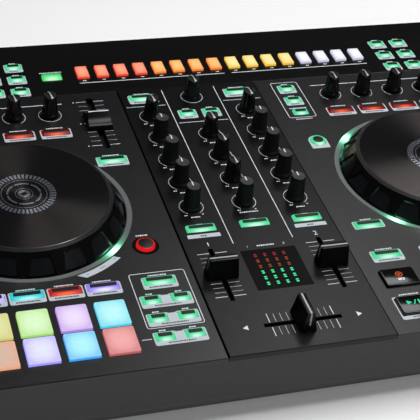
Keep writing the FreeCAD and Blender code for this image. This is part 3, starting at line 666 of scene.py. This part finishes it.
def deck_buttons(side):
    """One deck's caps, told apart by their sizes and by how far they are from the player."""
    node = f"{side}_deck_buttons"
    sheet = deck_prints[side]
    caps = [Cap(box) for box in solid_boxes(node)]
    shape, inlays = Shape(), Shape()
    looks = [MINT, RED, WHITE, CYAN, VIOLET, RED_RING, BRIGHT_RED]
    pads_low, pads_high = node_box(f"{side}_pads")
    modes = [cap for cap in caps if cap.wide and pads_low.x < cap.x < pads_high.x and cap.away < PAD_ZONE]
    for cap in caps:
        if cap.round:
            if cap.away < SWITCH_ZONE:
                round_cap(shape, inlays, cap, looks.index(RED_RING), SWITCH_RING)
                well(sheet, cap)
                sheet.label(cap.x, cap.away + 11.3, 9, 1.3)
            else:
                round_cap(shape, inlays, cap, 0, SLIP_RING)
                slip_plate(sheet, cap)
            continue
        look = looks.index(RED) if cap.wide and cap.away > EFFECT_ZONE else 0
        if cap in modes:
            look = looks.index((WHITE, CYAN, BRIGHT_RED, VIOLET)[modes.index(cap)])
        bar_cap(shape, inlays, cap, look, sheet.z)
        if cap.wide:
            shift = PAD_ZONE < cap.away < SWITCH_ZONE
            single_plate(sheet, cap, PLATE_BACK if shift else PLATE_FRONT, not shift)
            if shift:
                sheet.label(cap.x, cap.away + CAPTION_BACK, 9)
    small = [cap for cap in caps if not cap.wide and not cap.round]
    pairs = [cap for cap in small if cap.away < PAD_ZONE]
    for left, right in zip(pairs[::2], pairs[1::2]):
        pair_plate(sheet, left, right)
    assigns = [cap for cap in small if cap.away > BACK_ZONE]
    for cap in assigns[1:]:
        single_plate(sheet, cap)
    first, last = assigns[0], assigns[-1]
    sheet.label(first.x, first.away + CAPTION_BACK, 15)
    sheet.frame(first.x - 11.8, first.x + 11.8, first.away - 7.4, last.away + 9)
    sheet.label(first.x, first.away - 9.6, 14)
    loop_x = (pairs[0].x + pairs[1].x) / 2
    sheet.frame(loop_x - 19.5, loop_x + 19.5, pairs[2].away - 9.2, pairs[-1].away + 27.2)
    toward_pads = -1 if loop_x > node_centre(f"{side}_jog_wheel").x else 1
    sheet.line(loop_x + toward_pads * 19, loop_x + toward_pads * 25.5, pairs[0].away - 0.8)
    make_caps(f"{side}_deck", node, shape, inlays, looks)


def mixer_buttons():
    """The load and menu keys at the back on plates, and the cue keys in front of the knobs."""
    sheet = mixer_print
    shape, inlays = Shape(), Shape()
    for cap in [Cap(box) for box in solid_boxes("mixer_buttons")]:
        bar_cap(shape, inlays, cap, 0, MIXER_TOP)
        if cap.away > BACK_ZONE:
            single_plate(sheet, cap)
            continue
        sheet.label(cap.x, cap.away + 4.4, 4.6, 1.0)
        if abs(cap.x) > 20:
            sheet.bar(sheet.grey, cap.x, cap.away - 8.3, 24.2, 4)
            sheet.label(cap.x, cap.away - 8.3, 5, 1.4, dark=True)
    make_caps("mixer", "mixer_buttons", shape, inlays, [MINT])


def strip_buttons():
    """The wide start key with no inlay, and the select keys at both ends of the strip."""
    sheet = strip_print
    shape, inlays = Shape(), Shape()
    for cap in [Cap(box) for box in solid_boxes("sequencer_buttons")]:
        if cap.width > 14:
            start = rounded_rectangle(cap.x, cap.y, cap.width, cap.depth, 1.0)
            crown = rounded_rectangle(cap.x, cap.y + 0.3, cap.width - 1.2, cap.depth - 1.8, 0.7)
            loops = [(start, cap.low.z), (start, STRIP_TOP + 0.6), (crown, cap.high.z)]
            shape.loft([at_height(loop, z) for loop, z in loops], 1, cap.unit)
            sheet.label(cap.x, cap.away + 7.4, 18, 1.4)
            continue
        bar_cap(shape, inlays, cap, 0, STRIP_TOP)
        single_plate(sheet, cap)
    make_caps("sequencer", "sequencer_buttons", shape, inlays, [MINT, START])


def transport_button(side, job, icon_look, draw_icon):
    """A glossy black key with a lit symbol."""
    node = f"{side}_{job}_button"
    cap = Cap(node_box(node))
    shape = Shape()
    foot = rounded_rectangle(cap.x, cap.y, cap.width, cap.depth, 1.6, 6)
    crown = rounded_rectangle(cap.x, cap.y, cap.width - 1.0, cap.depth - 1.0, 1.2, 6)
    flat = rounded_rectangle(cap.x, cap.y, cap.width - 1.8, cap.depth - 1.8, 1.0, 6)
    high = cap.high.z
    loops = [(foot, cap.low.z), (foot, high - 0.7), (crown, high - 0.12), (flat, high)]
    shape.loft([at_height(loop, z) for loop, z in loops])
    make_piece(f"{side}_{job}_key", shape, node, [GLOSS], [node])
    icon = Shape()
    draw_icon(icon, cap, high)
    make_piece(f"{side}_{job}_symbol", icon, node, [icon_look, WHITE_INK])


def cue_icon(icon, cap, z):
    """A ring with a dot, over a small light tag."""
    y, tag_y = cap.y + 1.6, cap.y - 3.4
    icon.sheet([circle(cap.x, y, 2.6, 32), circle(cap.x, y, 1.9, 32)], z, 0.04)
    icon.sheet([circle(cap.x, y, 0.9, 20)], z, 0.04)
    tag = [rounded_rectangle(cap.x, tag_y, 5, 2.2, 0.4), circle(cap.x + 0.8, tag_y, 0.6, 12)]
    icon.sheet(tag, z, 0.04, 1)


def play_icon(icon, cap, z):
    """Triangle, stroke and two bars."""
    x, y = cap.x, cap.y + 1.5
    icon.sheet([[(x - 6.2, y - 2), (x - 2.4, y), (x - 6.2, y + 2)]], z, 0.04)
    icon.sheet([[(x - 1.7, y - 2), (x - 0.8, y - 2), (x + 1.1, y + 2), (x + 0.2, y + 2)]], z, 0.04)
    for step in (0, 1):
        icon.sheet([box_loop(x + 2.8 + 2.1 * step, y, 1.2, 4)], z, 0.04)


def play_plate(side):
    """The light plate round the play key, with its captions."""
    cap = Cap(node_box(f"{side}_play_button"))
    sheet = deck_prints[side]
    near, far = cap.away - cap.depth / 2 - 3.85, cap.away + cap.depth / 2 + 1.65
    sheet.plate(box_loop(cap.x, (near + far) / 2, cap.width + 2.8, far - near), [cap.hole()])
    sheet.label(cap.x, far + 1.6, 15)
    sheet.label(cap.x, near + 2, 12, dark=True)


CUE_GLOW = lamp("cue_glow", (0.62, 0.09, 0.01))
PLAY_GLOW = lamp("play_glow", (0.03, 0.75, 0.35))

for side in ("left", "right"):
    deck_buttons(side)
    transport_button(side, "cue", CUE_GLOW, cue_icon)
    transport_button(side, "play", PLAY_GLOW, play_icon)
    play_plate(side)
mixer_buttons()
strip_buttons()


# Pads

PAD_COLOURS = {
    "peach": ((0.83, 0.38, 0.22), (0.69, 0.48, 0.39)),
    "lavender": ((0.36, 0.3, 0.94), (0.8, 0.81, 0.99)),
    "sky": ((0.055, 0.33, 0.87), (0.45, 0.93, 0.98)),
    "salmon": ((0.5, 0.11, 0.12), (0.9, 0.42, 0.41)),
    "yellow": ((0.6, 0.56, 0.15), (0.76, 0.77, 0.4)),
    "green": ((0.36, 0.7, 0.15), (0.74, 0.96, 0.6)),
    "pink": ((0.43, 0.23, 0.73), (0.87, 0.74, 0.97)),
    "cyan": ((0.08, 0.6, 0.81), (0.52, 0.96, 0.98)),
}
STEP_COLOURS = {
    "step_red": ((0.84, 0.06, 0.028), (1.02, 0.4, 0.25)),
    "step_amber": ((0.9, 0.2, 0.025), (1.1, 0.6, 0.22)),
    "step_yellow": ((0.85, 0.5, 0.05), (1.05, 0.9, 0.4)),
    "step_white": ((0.5, 0.5, 0.62), (1.0, 1.0, 1.1)),
}


def pad(shape, box, look, round_corner, edge_drop):
    """One pad, its top rim rounded over by the edge drop."""
    cap = Cap(box)
    high = cap.high.z
    rows = [(0, cap.low.z), (0, high - 2 * edge_drop), (0.1, high - edge_drop), (0.3, high - 0.3 * edge_drop),
            (0.6, high - 0.08 * edge_drop), (1.2, high)]
    loops = []
    for inset, z in rows:
        size = (cap.width - 2 * inset, cap.depth - 2 * inset)
        loops.append(at_height(rounded_rectangle(cap.x, cap.y, *size, max(round_corner - inset, 0.3), 5), z))
    shape.loft(loops, look, cap.unit)


def pad_group(node, name, colours, each, round_corner, edge_drop):
    """All the pads of one node: each colour serves the same number of pads, one after the other."""
    shape = Shape()
    looks = [lit_pad(f"{name}_{key}", *pair) for key, pair in colours.items()]
    for number, box in enumerate(solid_boxes(node)):
        pad(shape, box, number // each, round_corner, edge_drop)
    make_piece(name, shape, node, looks, [node], crease=50)


for side in ("left", "right"):
    pad_group(f"{side}_pads", f"{side}_silicone_pads", PAD_COLOURS, 1, 1.5, 0.35)
pad_group("step_pads", "step_keys", STEP_COLOURS, 4, 0.7, 0.3)


# Knobs

FLAT_JOBS = ("high", "mid", "low", "filter")
FLAT_KNOBS = [f"channel_{channel}_{job}_knob" for channel in (1, 2) for job in FLAT_JOBS]
FLAT_KNOBS.append("sampler_level_knob")
ENDLESS = ("browse_knob", "sequencer_knob", "left_effect_knob_4", "right_effect_knob_4")
KNOB_STEPS = 144
RIDGE = 1.2  # how far behind the middle the ridge of a slanted top lies
POINTER_LIFT = 0.1


def roof(y, top):
    """Height of the slanted top: a ridge behind the middle, falling gently back and more steeply forward."""
    return top - (0.3 * (y - RIDGE) if y > RIDGE else 0.38 * (RIDGE - y))


def fluted_loop(centre, radius, z, ribs, depth):
    """A circle with shallow flutes pressed into it."""
    points = []
    for i in range(KNOB_STEPS):
        angle = 2 * math.pi * i / KNOB_STEPS
        reach = radius - depth * (0.5 - 0.5 * math.cos(ribs * angle)) ** 0.6
        points.append((centre.x + reach * math.cos(angle), centre.y + reach * math.sin(angle), z))
    return points


def slanted_loop(centre, radius, crest, drop, ribs, depth):
    """A fluted circle that lies on the slanted top, or a little under it."""
    loop = fluted_loop(centre, radius, 0, ribs, depth)
    return [(x, y, roof(y - centre.y, crest) - drop) for x, y, _ in loop]


def bow_pointer(shape, centre, crest):
    """The light mark over a slanted top: broad at its ends and narrow at the ridge, turned a little."""
    rows = [(4.25, 0.75), (2.8, 0.42), (RIDGE, 0.28), (-0.6, 0.3), (-2.2, 0.5), (-4.1, 0.9)]
    turn = Matrix.Rotation(math.radians(15), 2)
    edges = []
    for hand in (-1, 1):
        for along, half in rows:
            x, y = turn @ Vector((hand * half, along))
            edges.append((centre.x + x, centre.y + y, roof(y, crest) + POINTER_LIFT))
    count = len(rows)
    size = 2 * count
    faces = [(i, i + 1, count + i + 1, count + i) for i in range(count - 1)]
    around = list(range(count)) + list(range(size - 1, count - 1, -1))
    faces += [(a, a + size, b + size, b) for a, b in zip(around, around[1:] + around[:1])]
    faces += [(size + i, size + count + i, size + count + i + 1, size + i + 1) for i in range(count - 1)]
    shape.add(edges + [(x, y, z - 0.4) for x, y, z in edges], faces, 2)


def knob_shape(node, flat):
    """A knob with a round foot and a fluted waist, under a flat top or a slanted one."""
    low, high = node_box(node)
    centre = node_centre(node)
    tall = high.z - low.z
    ribs, depth = (24, 0.22) if flat else (12, 0.42)
    skirt = high.x - centre.x
    slim = 0 if flat else 0.35
    rows = [(skirt - 0.5, 0, 0), (skirt, 0.35, 0), (skirt, 0.9, 0), (skirt - 0.25, 1.5, 0)]
    rows += [(skirt - 0.7, 2.1, 0), (6.45, 2.9, 0), (6.3, 3.8, 0.5), (6.2, 4.6, 1)]
    rows += [(5.75 - slim, 10, 1), (5.35 - slim, tall - 2.9, 1)]
    if flat:
        rows += [(5.2, tall - 0.9, 0.6), (5.12, tall - 0.25, 0.1), (4.95, tall - 0.05, 0), (4.6, tall, 0)]
    loops = [fluted_loop(centre, radius, low.z + z, ribs, depth * share) for radius, z, share in rows]
    shape = Shape()
    if flat:
        shape.loft(loops, 0, top=False)
        # The flat top takes the lighter top material: painted light from above.
        shape.loft([loops[-1], fluted_loop(centre, 4.4, high.z - 0.05, 1, 0)], 1, bottom=False)
        pointer = box_loop(centre.x, centre.y + 2.6, 0.85, 4.4)
        shape.loft([at_height(pointer, high.z - 0.3), at_height(pointer, high.z)], 2)
        return shape
    crest = high.z - POINTER_LIFT
    edge = slanted_loop(centre, 4.6, crest, 0.15, ribs, depth * 0.4)
    shape.loft(loops + [slanted_loop(centre, 4.8, crest, 0.5, ribs, depth), edge], 0, top=False)
    crown = [slanted_loop(centre, radius, crest, 0, ribs, 0) for radius in (4.35, 2.2)]
    shape.loft([edge] + crown, 1, bottom=False)
    bow_pointer(shape, centre, crest)
    return shape


def place_knobs():
    """Every knob's shell, with the printed ring and dashes round its foot."""
    for node in frame["nodes"]:
        if "knob" not in node:
            continue
        flat = node in FLAT_KNOBS
        looks = [KNOB, KNOB_TOP_PAINTED_LIT, POINTER] if flat else [KNOB_GLOSS, KNOB_CROWN, POINTER_GREY]
        make_piece(f"{node}_shell", knob_shape(node, flat), node, looks, [node], crease=32)
        centre = node_centre(node)
        away = centre.y - FRONT
        sheet = mixer_print
        if "effect" in node:
            sheet = deck_prints[node.split("_")[0]]
        if node == "sequencer_knob":
            sheet = strip_print
        endless = node in ENDLESS
        sheet.ring(centre.x, away, 0 if endless else 60)
        if endless or "effect" in node:
            continue
        sheet.label(centre.x, away - 12.3, 14 if node == "sampler_level_knob" else 7)
        for shift, width in ((-6.4, 2.8), (6.4, 1.8)):
            sheet.label(centre.x + shift, away - 9.6, width, 0.9)


place_knobs()


# Faders

LINE_LOOK = 1
FADER_GAP = 0.6  # between a cap's foot and the panel


def cap_section(cx, cy, z, length, width, along_y):
    size = (width, length) if along_y else (length, width)
    return at_height(rounded_rectangle(cx, cy, *size, min(0.8, width / 2 - 0.1)), z)


def stem(shape, centre, bottom, top, along_y):
    """The lever that a cap sits on, down into its slot."""
    loop = box_loop(centre.x, centre.y, *((5, 1.6) if along_y else (1.6, 5)))
    shape.loft([at_height(loop, bottom), at_height(loop, top)])


def band(shape, centre, profile, half, along_y):
    """A thin raised line that follows a profile of (distance along, height)."""
    count = len(profile)
    points = []
    for side in (-half, half):
        for lift, inward in ((0.06, 1), (-0.5, 0.97)):
            for s, z in profile:
                x, y = (side, s * inward) if along_y else (s * inward, side)
                points.append((centre.x + x, centre.y + y, z + lift))
    faces = []
    for a0 in range(count - 1):
        a1, b0, b1 = count + a0, 2 * count + a0, 3 * count + a0
        faces += [(a0, a0 + 1, b0 + 1, b0), (a1, b1, b1 + 1, a1 + 1), (a0, a1, a1 + 1, a0 + 1),
                  (b0, b0 + 1, b1 + 1, b1)]
    last = count - 1
    faces += [(0, 2 * count, 3 * count, count), (last, count + last, 3 * count + last, 2 * count + last)]
    shape.add(points, faces, LINE_LOOK)


def mixer_fader(node):
    """A tall cap whose broad faces curve in to a narrow ridge with a white line over it."""
    low, high = node_box(node)
    centre = (low + high) / 2
    along_y = node == "crossfader"
    foot = MIXER_TOP + FADER_GAP
    tall = high.z - foot
    length, width = (high.y - low.y, high.x - low.x) if along_y else (high.x - low.x, high.y - low.y)
    top, taper = 5.9, 1.6
    rows = [(t, top + (width - top) * (1 - t) ** 1.3, taper * t)
            for t in (0, 0.05, 0.12, 0.25, 0.4, 0.55, 0.7, 0.85, 0.95)]
    rows += [(0.975, top, taper + 0.05), (0.993, top - 0.5, taper + 0.35), (1.0, top - 1.4, taper + 0.9)]
    shape = Shape()
    shape.loft([cap_section(centre.x, centre.y, foot + t * tall, length - inset, across, along_y)
                for t, across, inset in rows])
    stem(shape, centre, low.z, foot + 1, along_y)
    end = (length - taper) / 2
    rise = [(length / 2 - 0.1, foot + 1.2), (end + 0.12, foot + 0.95 * tall), (end - 0.35, high.z + 0.03)]
    band(shape, centre, rise + [(-s, z) for s, z in reversed(rise)], 0.6, along_y)
    make_piece(f"{node}_cap", shape, node, [FADER, FADER_LINE], [node], crease=35)


def tempo_fader(node):
    """A saddle-shaped cap with a cross ridge and a lip at each end."""
    low, high = node_box(node)
    centre = (low + high) / 2
    foot = DECK_TOP + FADER_GAP
    half_width, half_depth = (high.x - low.x) / 2, (high.y - low.y) / 2
    tall = high.z - foot
    side = [(1.0, 0), (0.98, 0.24), (0.93, 0.36), (0.85, 0.41), (0.7, 0.45), (0.55, 0.52), (0.42, 0.62),
            (0.3, 0.74), (0.2, 0.88), (0.1, 0.99)]
    profile = [(-y * half_depth, z * tall) for y, z in side] + [(0, tall)]
    profile += [(-y, z) for y, z in reversed(profile[:-1])]
    points = []
    for edge, inset in ((-1, 0.5), (-0.97, 0.12), (-0.9, 0), (0.9, 0), (0.97, 0.12), (1, 0.5)):
        for y, z in profile:
            x = edge * half_width * (1 - 0.14 * z / tall)
            points.append((centre.x + x, centre.y + y, foot + max(z - inset, 0)))
    count = len(profile)
    last = len(points) - count
    faces = [(row + count + i, row + count + i + 1, row + i + 1, row + i)
             for row in range(0, last, count) for i in range(count - 1)]
    ends = range(0, last + 1, count)
    faces += [tuple(range(count)), tuple(reversed(range(last, last + count))),
              tuple([*ends] + [row + count - 1 for row in reversed(ends)])]
    shape = Shape()
    shape.add(points, faces)
    stem(shape, centre, low.z, foot + 1, False)
    reach = half_width * 0.86 - 0.3
    line = [(-reach, high.z - 0.25), (-reach + 0.5, high.z), (reach - 0.5, high.z), (reach, high.z - 0.25)]
    band(shape, centre, line, 0.6, False)
    make_piece(f"{node}_cap", shape, node, [FADER, WHITE_INK], [node], crease=35)


def travel_marks(sheet, node, along_y, inner, half_mark, dots=False):
    """Eleven marks each side of the slot over the fader's travel, the end and middle ones heavier."""
    centre = node_centre(node)
    joint = next(item for item in frame["joints"] if item["child"] == node)
    travel = (joint["range_m"][1] - joint["range_m"][0]) / MM
    away = centre.y - FRONT
    for step in range(11):
        shift = travel * (step / 10 - 0.5)
        heavy = step in (0, 5, 10)
        width = 0.5 if heavy else 0.3
        ink = sheet.white if heavy else sheet.grey
        outer = half_mark if heavy else half_mark - 0.7
        for hand in (-1, 1):
            middle = hand * (inner + outer) / 2
            if along_y:
                sheet.bar(ink, centre.x + middle, away + shift, outer - inner, width)
            else:
                sheet.bar(ink, centre.x + shift, away + middle, width, outer - inner)
        if dots and heavy:
            sheet.white.sheet([circle(centre.x - half_mark - 2.4, centre.y + shift, 0.6, 12)], sheet.z)


for node in ("channel_fader_1", "channel_fader_2", "crossfader"):
    mixer_fader(node)
    travel_marks(mixer_print, node, node != "crossfader", 2.3, 10.8)
for side in ("left", "right"):
    tempo_fader(f"{side}_tempo_fader")
    travel_marks(deck_prints[side], f"{side}_tempo_fader", True, 3.2, 11, dots=True)


# Jog wheels

RECESSES = 18
RECESS_DEPTH = 1.5


def jog_wheel(side):
    """The wheel's wall with its finger recesses, its ribbed band, and the inside that carries it."""
    node = f"{side}_jog_wheel"
    low, high = node_box(node)
    centre = node_centre(f"{side}_jog_plate")
    skirt = high.x - centre.x
    wall_low = (skirt, DECK_TOP + 0.6)
    wall_high = (skirt - 9.7, high.z - 1.0)
    columns = [0, 0.03, 0.085, 0.3, 0.5, 0.7, 0.915, 0.97]
    rows = [(-0.17, 1), (0, 1), (0.35, 1), (0.7, 1), (0.81, 0), (0.9, 0), (1.0, 0)]
    shape = Shape()

    def plain(radius, z, share_up=1):
        """A ring with the wall's columns: a recess is wide at the wall's foot and narrow near its top."""
        spread = 0.84 - 0.3 * max(share_up, 0)
        places = [recess + 0.5 + (column - 0.5) * spread for recess in range(RECESSES) for column in columns]
        turns = [2 * math.pi * place / RECESSES for place in places]
        return [(centre.x + radius * math.cos(turn), centre.y + radius * math.sin(turn), z) for turn in turns]

    def wall_loop(share_up, sunk):
        radius, z = (low + (high - low) * share_up for low, high in zip(wall_low, wall_high))
        radius = min(radius, skirt)
        outer, inner = plain(radius, z, share_up), plain(radius - RECESS_DEPTH, z, share_up)
        deep = [sunk and 0.05 < column < 0.95 for column in columns] * RECESSES
        return [low_point if inside else point for point, low_point, inside in zip(outer, inner, deep)]

    loops = [wall_loop(*row) for row in rows]
    wall_looks = [
        2 if sunk and 0.05 < column < 0.9 else 0 for _, sunk in rows[1:] for column in columns * RECESSES
    ]
    shape.loft(loops, wall_looks, bottom=False, top=False)
    ribs = [(wall_high[0] - 2 * i / 6, high.z - 1 + i / 6 - (0.16 if i % 2 else 0)) for i in range(7)]
    inside = [(skirt - 12.4, high.z), (skirt - 12.4, high.z - 1.4), (12.5, high.z - 1.4)]
    shape.loft([plain(r, z) for r, z in ribs + inside], 1, bottom=False)
    under = [(12, high.z - 4), (skirt - 12, high.z - 4), (skirt - 2.5, loops[0][0][2])]
    shape.loft([plain(r, z, 0) for r, z in under] + [loops[0]], 0, bottom=False, top=False)
    shaft = [(6, low.z), (6, DECK_TOP + 2), (12, DECK_TOP + 2), (12, high.z - 4)]
    shape.loft([plain(r, z) for r, z in shaft], 0, top=False)
    looks = [GLOSS, KNOB, RECESS]
    make_piece(f"{side}_jog_rim", shape, f"{side}_jog", looks, [node], crease=24)


def jog_plate(side):
    """The touch plate with its turned surface, and the foil pattern in its middle."""
    node = f"{side}_jog_plate"
    low, high = node_box(node)
    centre = node_centre(node)
    radius = high.x - centre.x
    shape = Shape()
    edge = [(radius - 0.15, low.z), (radius, low.z + 0.1), (radius, high.z - 0.4), (radius - 0.4, high.z)]
    face = [(radius - 0.4, high.z), (radius - 1.4, high.z), (40, high.z), (20, high.z), (4, high.z)]
    shape.loft(turned_loops(centre.x, centre.y, edge, 128), 1, top=False)
    shape.loft(turned_loops(centre.x, centre.y, face, 128), 0, bottom=False)
    make_piece(f"{side}_jog_disc", shape, f"{side}_jog",
               [turntable_top(f"{side}_turned", centre), PLATE_EDGE], [node], crease=30)
    pattern = Shape()

    def dashes(count, start, span, outer, inner, steps):
        for i in range(count):
            first = 360 * i / count + start
            sector = arc(centre.x, centre.y, outer, first, first + span, steps)
            pattern.sheet([sector + arc(centre.x, centre.y, inner, first + span, first, steps)], high.z)

    def ring(outer, inner, steps, inner_steps):
        loops = [circle(centre.x, centre.y, outer, steps), circle(centre.x, centre.y, inner, inner_steps)]
        pattern.sheet(loops, high.z)

    dashes(45, 0, 360 / 45 * 0.62, 22.5, 17.8, 2)
    ring(16.2, 15.7, 48, 48)
    dashes(6, 4, 52, 12.3, 11.0, 10)
    ring(6.4, 5.9, 40, 40)
    ring(4.4, 2.0, 40, 24)
    make_piece(f"{side}_jog_foil", pattern, f"{side}_jog", [SILVER])


def light_ring(side, box):
    """The light guide round a jog wheel: a flange under the panel, and a face in the panel's opening."""
    low, high = box
    centre = Vector(((low.x + high.x) / 2, (low.y + high.y) / 2, 0))
    flange = node_box("jog_light_rings")[1].x - node_centre("right_jog_wheel").x
    face, inner = flange - 1.7, flange - 5.8
    under = DECK_TOP - 3.05
    profile = [(inner, low.z), (flange, low.z), (flange, under), (face, under), (face, high.z - 0.35),
               (face - 0.35, high.z), (inner + 0.5, high.z - 0.25), (inner, high.z - 0.7), (inner, low.z)]
    shape = Shape()
    shape.loft(turned_loops(centre.x, centre.y, profile, 160), bottom=False, top=False)
    replaced = ["jog_light_rings"] if side == "left" else []
    look = light_guide(f"{side}_guide", centre)
    make_piece(f"{side}_light_guide", shape, "chassis", [look], replaced, crease=30)


def skip_plate(side):
    """The curved light label beside the jog wheel's right front."""
    sheet = deck_prints[side]
    centre = node_centre(f"{side}_jog_plate")
    tip = arc(centre.x, centre.y, 77.9, -73, -73, 1)[:1]
    loop = arc(centre.x, centre.y, 77.9, -66, -49, 10) + arc(centre.x, centre.y, 82.6, -47.5, -69.5, 12)
    sheet.grey.sheet([tip + loop], sheet.z)
    for degrees in (-68, -60, -58.8, -57.6, -50):
        dot = arc(centre.x, centre.y, 80.2, degrees, degrees, 1)[0]
        sheet.dark.sheet([circle(*dot, 0.5, 10)], sheet.z + PRINT)


ring_boxes = sorted(solid_boxes("jog_light_rings"), key=lambda box: box[0].x)
for side, ring_box in zip(("left", "right"), ring_boxes):
    jog_wheel(side)
    jog_plate(side)
    light_ring(side, ring_box)
    skip_plate(side)


# Meter and the rest of the printing

def level_meter():
    """Four columns of paired segments behind the smoked window."""
    low, high = node_box("level_meter_window")
    looks = [lamp("meter_red", (0.32, 0.007, 0.035)), lamp("meter_orange", (0.28, 0.048, 0.008)),
             lamp("meter_green", (0.045, 0.87, 0.35))]
    shape = Shape()
    width, depth = high.x - low.x, high.y - low.y
    for column in range(4):
        x = low.x + width * (0.232 + 0.1725 * column)
        for row in range(6):
            y = low.y + depth * (0.145 + 0.1415 * row)
            look = 0 if row == 5 else 1 if row > 2 else 2
            for half in (-1, 1):
                shape.sheet([rounded_rectangle(x, y + 0.95 * half, 2.0, 1.25, 0.2, 2)], high.z, 0.03, look)
    make_piece("level_meter_segments", shape, "chassis", looks)
    mixer_print.label((low.x + high.x) / 2, high.y - FRONT + 4, 13, 1.3)


def digit(name, text, x, away, z, size):
    """A printed number."""
    curve = bpy.data.curves.new(name, "FONT")
    curve.body = text
    curve.size = size * MM
    curve.extrude = PRINT * MM / 2
    curve.align_x = "CENTER"
    curve.align_y = "CENTER"
    piece = bpy.data.objects.new(name, curve)
    bpy.context.scene.collection.objects.link(piece)
    piece.location = Vector((x, away + FRONT, z + PRINT / 2)) * MM
    curve.materials.append(WHITE_INK)
    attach(piece, "chassis")


level_meter()
meter_high = node_box("level_meter_window")[1]
for hand, number in ((-1, "1"), (1, "2")):
    fader = node_centre(f"channel_fader_{number}")
    digit(f"channel_number_{number}", number, fader.x, fader.y - FRONT + 32, MIXER_TOP, 6.2)
    digit(f"meter_number_{number}", number, hand * 13.5, meter_high.y - FRONT + 4, MIXER_TOP, 2.6)
    mark = node_centre("crossfader")
    x = mark.x + hand * 40
    tip = [(x + hand * 2, mark.y), (x - hand * 1.6, mark.y + 2.2), (x - hand * 1.6, mark.y - 2.2)]
    mixer_print.white.sheet([tip], MIXER_TOP)
    mixer_print.bar(mixer_print.white, hand * 22.2, 207.5, 0.55, 199)
    load = [Cap(box) for box in solid_boxes("mixer_buttons") if box[0].y - FRONT > 285][(hand + 1) // 2]
    mixer_print.line(hand * 24.4, hand * 56.3, load.away - 12)
mixer_print.line(-20.3, 20.3, 258.7)

for side, sheet in deck_prints.items():
    first, last = node_box(f"{side}_effect_knob_1"), node_box(f"{side}_effect_knob_4")
    away = node_centre(f"{side}_effect_knob_1").y - FRONT + 14.2
    sheet.line(first[0].x - 6, last[1].x + 5, away, 0.8)

steps = solid_boxes("step_pads")
for half in (steps[:8], steps[8:]):
    strip_print.line(half[0][0].x, half[-1][1].x + 0.4, steps[0][0].y - FRONT - 6.5, 0.8)
for low, high in steps:
    strip_print.label((low.x + high.x) / 2, low.y - FRONT - 3.2, 3.2, 1.2)
for sheet in (*deck_prints.values(), mixer_print, strip_print):
    sheet.finish()


# CAD nodes that stay, in better materials

KEPT_LOOKS = {
    "bottom_case": CASE,
    "left_deck_panel": DECK,
    "right_deck_panel": DECK,
    "mixer_panel": MIXER,
    "sequencer_panel": STRIP,
    "audio_sockets": SOCKETS,
    "data_and_power_sockets": ZINC,
    "circuit_boards": BOARD,
    "potentiometers": BODY_BLACK,
    "jog_bearings": BODY_BLACK,
    "level_meter_window": SMOKE,
    "rubber_feet": RUBBER,
    "case_screws": ZINC,
    "power_switch": KNOB,
}
for node, look in KEPT_LOOKS.items():
    for slot in frame["nodes"][node].material_slots:
        slot.material = look


# Floor, light and camera

def floor():
    """A pale floor that glows faintly, more so away from the lamps, so that it stays pale to its edge."""
    nodes = Nodes("pale_floor")
    tint = nodes.blend(nodes.noise(3, 2), (0.82, 0.82, 0.82, 1), (0.86, 0.86, 0.86, 1))
    distance = nodes.add("VectorMath", {0: nodes.place()}, operation="LENGTH").outputs["Value"]
    reach = {"Value": distance, "From Min": 0.34, "From Max": 1.2, "To Min": 0.12, "To Max": 0.8}
    glow = nodes.add("MapRange", reach, interpolation_type="SMOOTHSTEP")
    look = nodes.set(Base_Color=tint, Roughness=0.8, Emission_Color=(1, 1, 1, 1), Emission_Strength=glow)
    mesh = bpy.data.meshes.new("floor")
    mesh.from_pydata(at_height(box_loop(0, 0, 12, 12), 0), [], [(0, 1, 2, 3)])
    mesh.materials.append(look)
    plane = bpy.data.objects.new("floor", mesh)
    bpy.context.scene.collection.objects.link(plane)


def area_light(name, place, size, power):
    """A square soft light aimed at the middle of the object's foot."""
    light = bpy.data.lights.new(name, "AREA")
    light.size = size
    light.energy = power
    softbox = bpy.data.objects.new(name, light)
    softbox.location = place
    softbox.rotation_euler = (-Vector(place)).to_track_quat("-Z", "Y").to_euler()
    bpy.context.scene.collection.objects.link(softbox)


def camera():
    """A long lens at the front left, above the decks, rolled a little."""
    place = Vector((-0.2924, -0.7365, 0.6254))
    target = Vector((-0.0272, -0.0463, 0.058))
    lens = bpy.data.cameras.new("camera")
    lens.lens = 110.4
    lens.sensor_width = 36
    view = bpy.data.objects.new("camera", lens)
    aim = (target - place).to_track_quat("-Z", "Y").to_matrix()
    turn = aim @ Matrix.Rotation(math.radians(7.39), 3, "Z")
    view.matrix_world = Matrix.Translation(place) @ turn.to_4x4()
    bpy.context.scene.collection.objects.link(view)
    bpy.context.scene.camera = view


floor()
world = bpy.data.worlds.new("studio")
world.use_nodes = True
background = world.node_tree.nodes["Background"]
background.inputs["Color"].default_value = (0.9, 0.93, 1.0, 1)
background.inputs["Strength"].default_value = 0.03
bpy.context.scene.world = world
bpy.context.scene.view_settings.view_transform = "Standard"
area_light("key", (0.25, -0.05, 1.35), 0.8, 18)
area_light("sheen", (0.49, 0.68, 1.06), 0.4, 2.0)
area_light("front", (0.9, -1.1, 1.25), 0.6, 3)
camera()
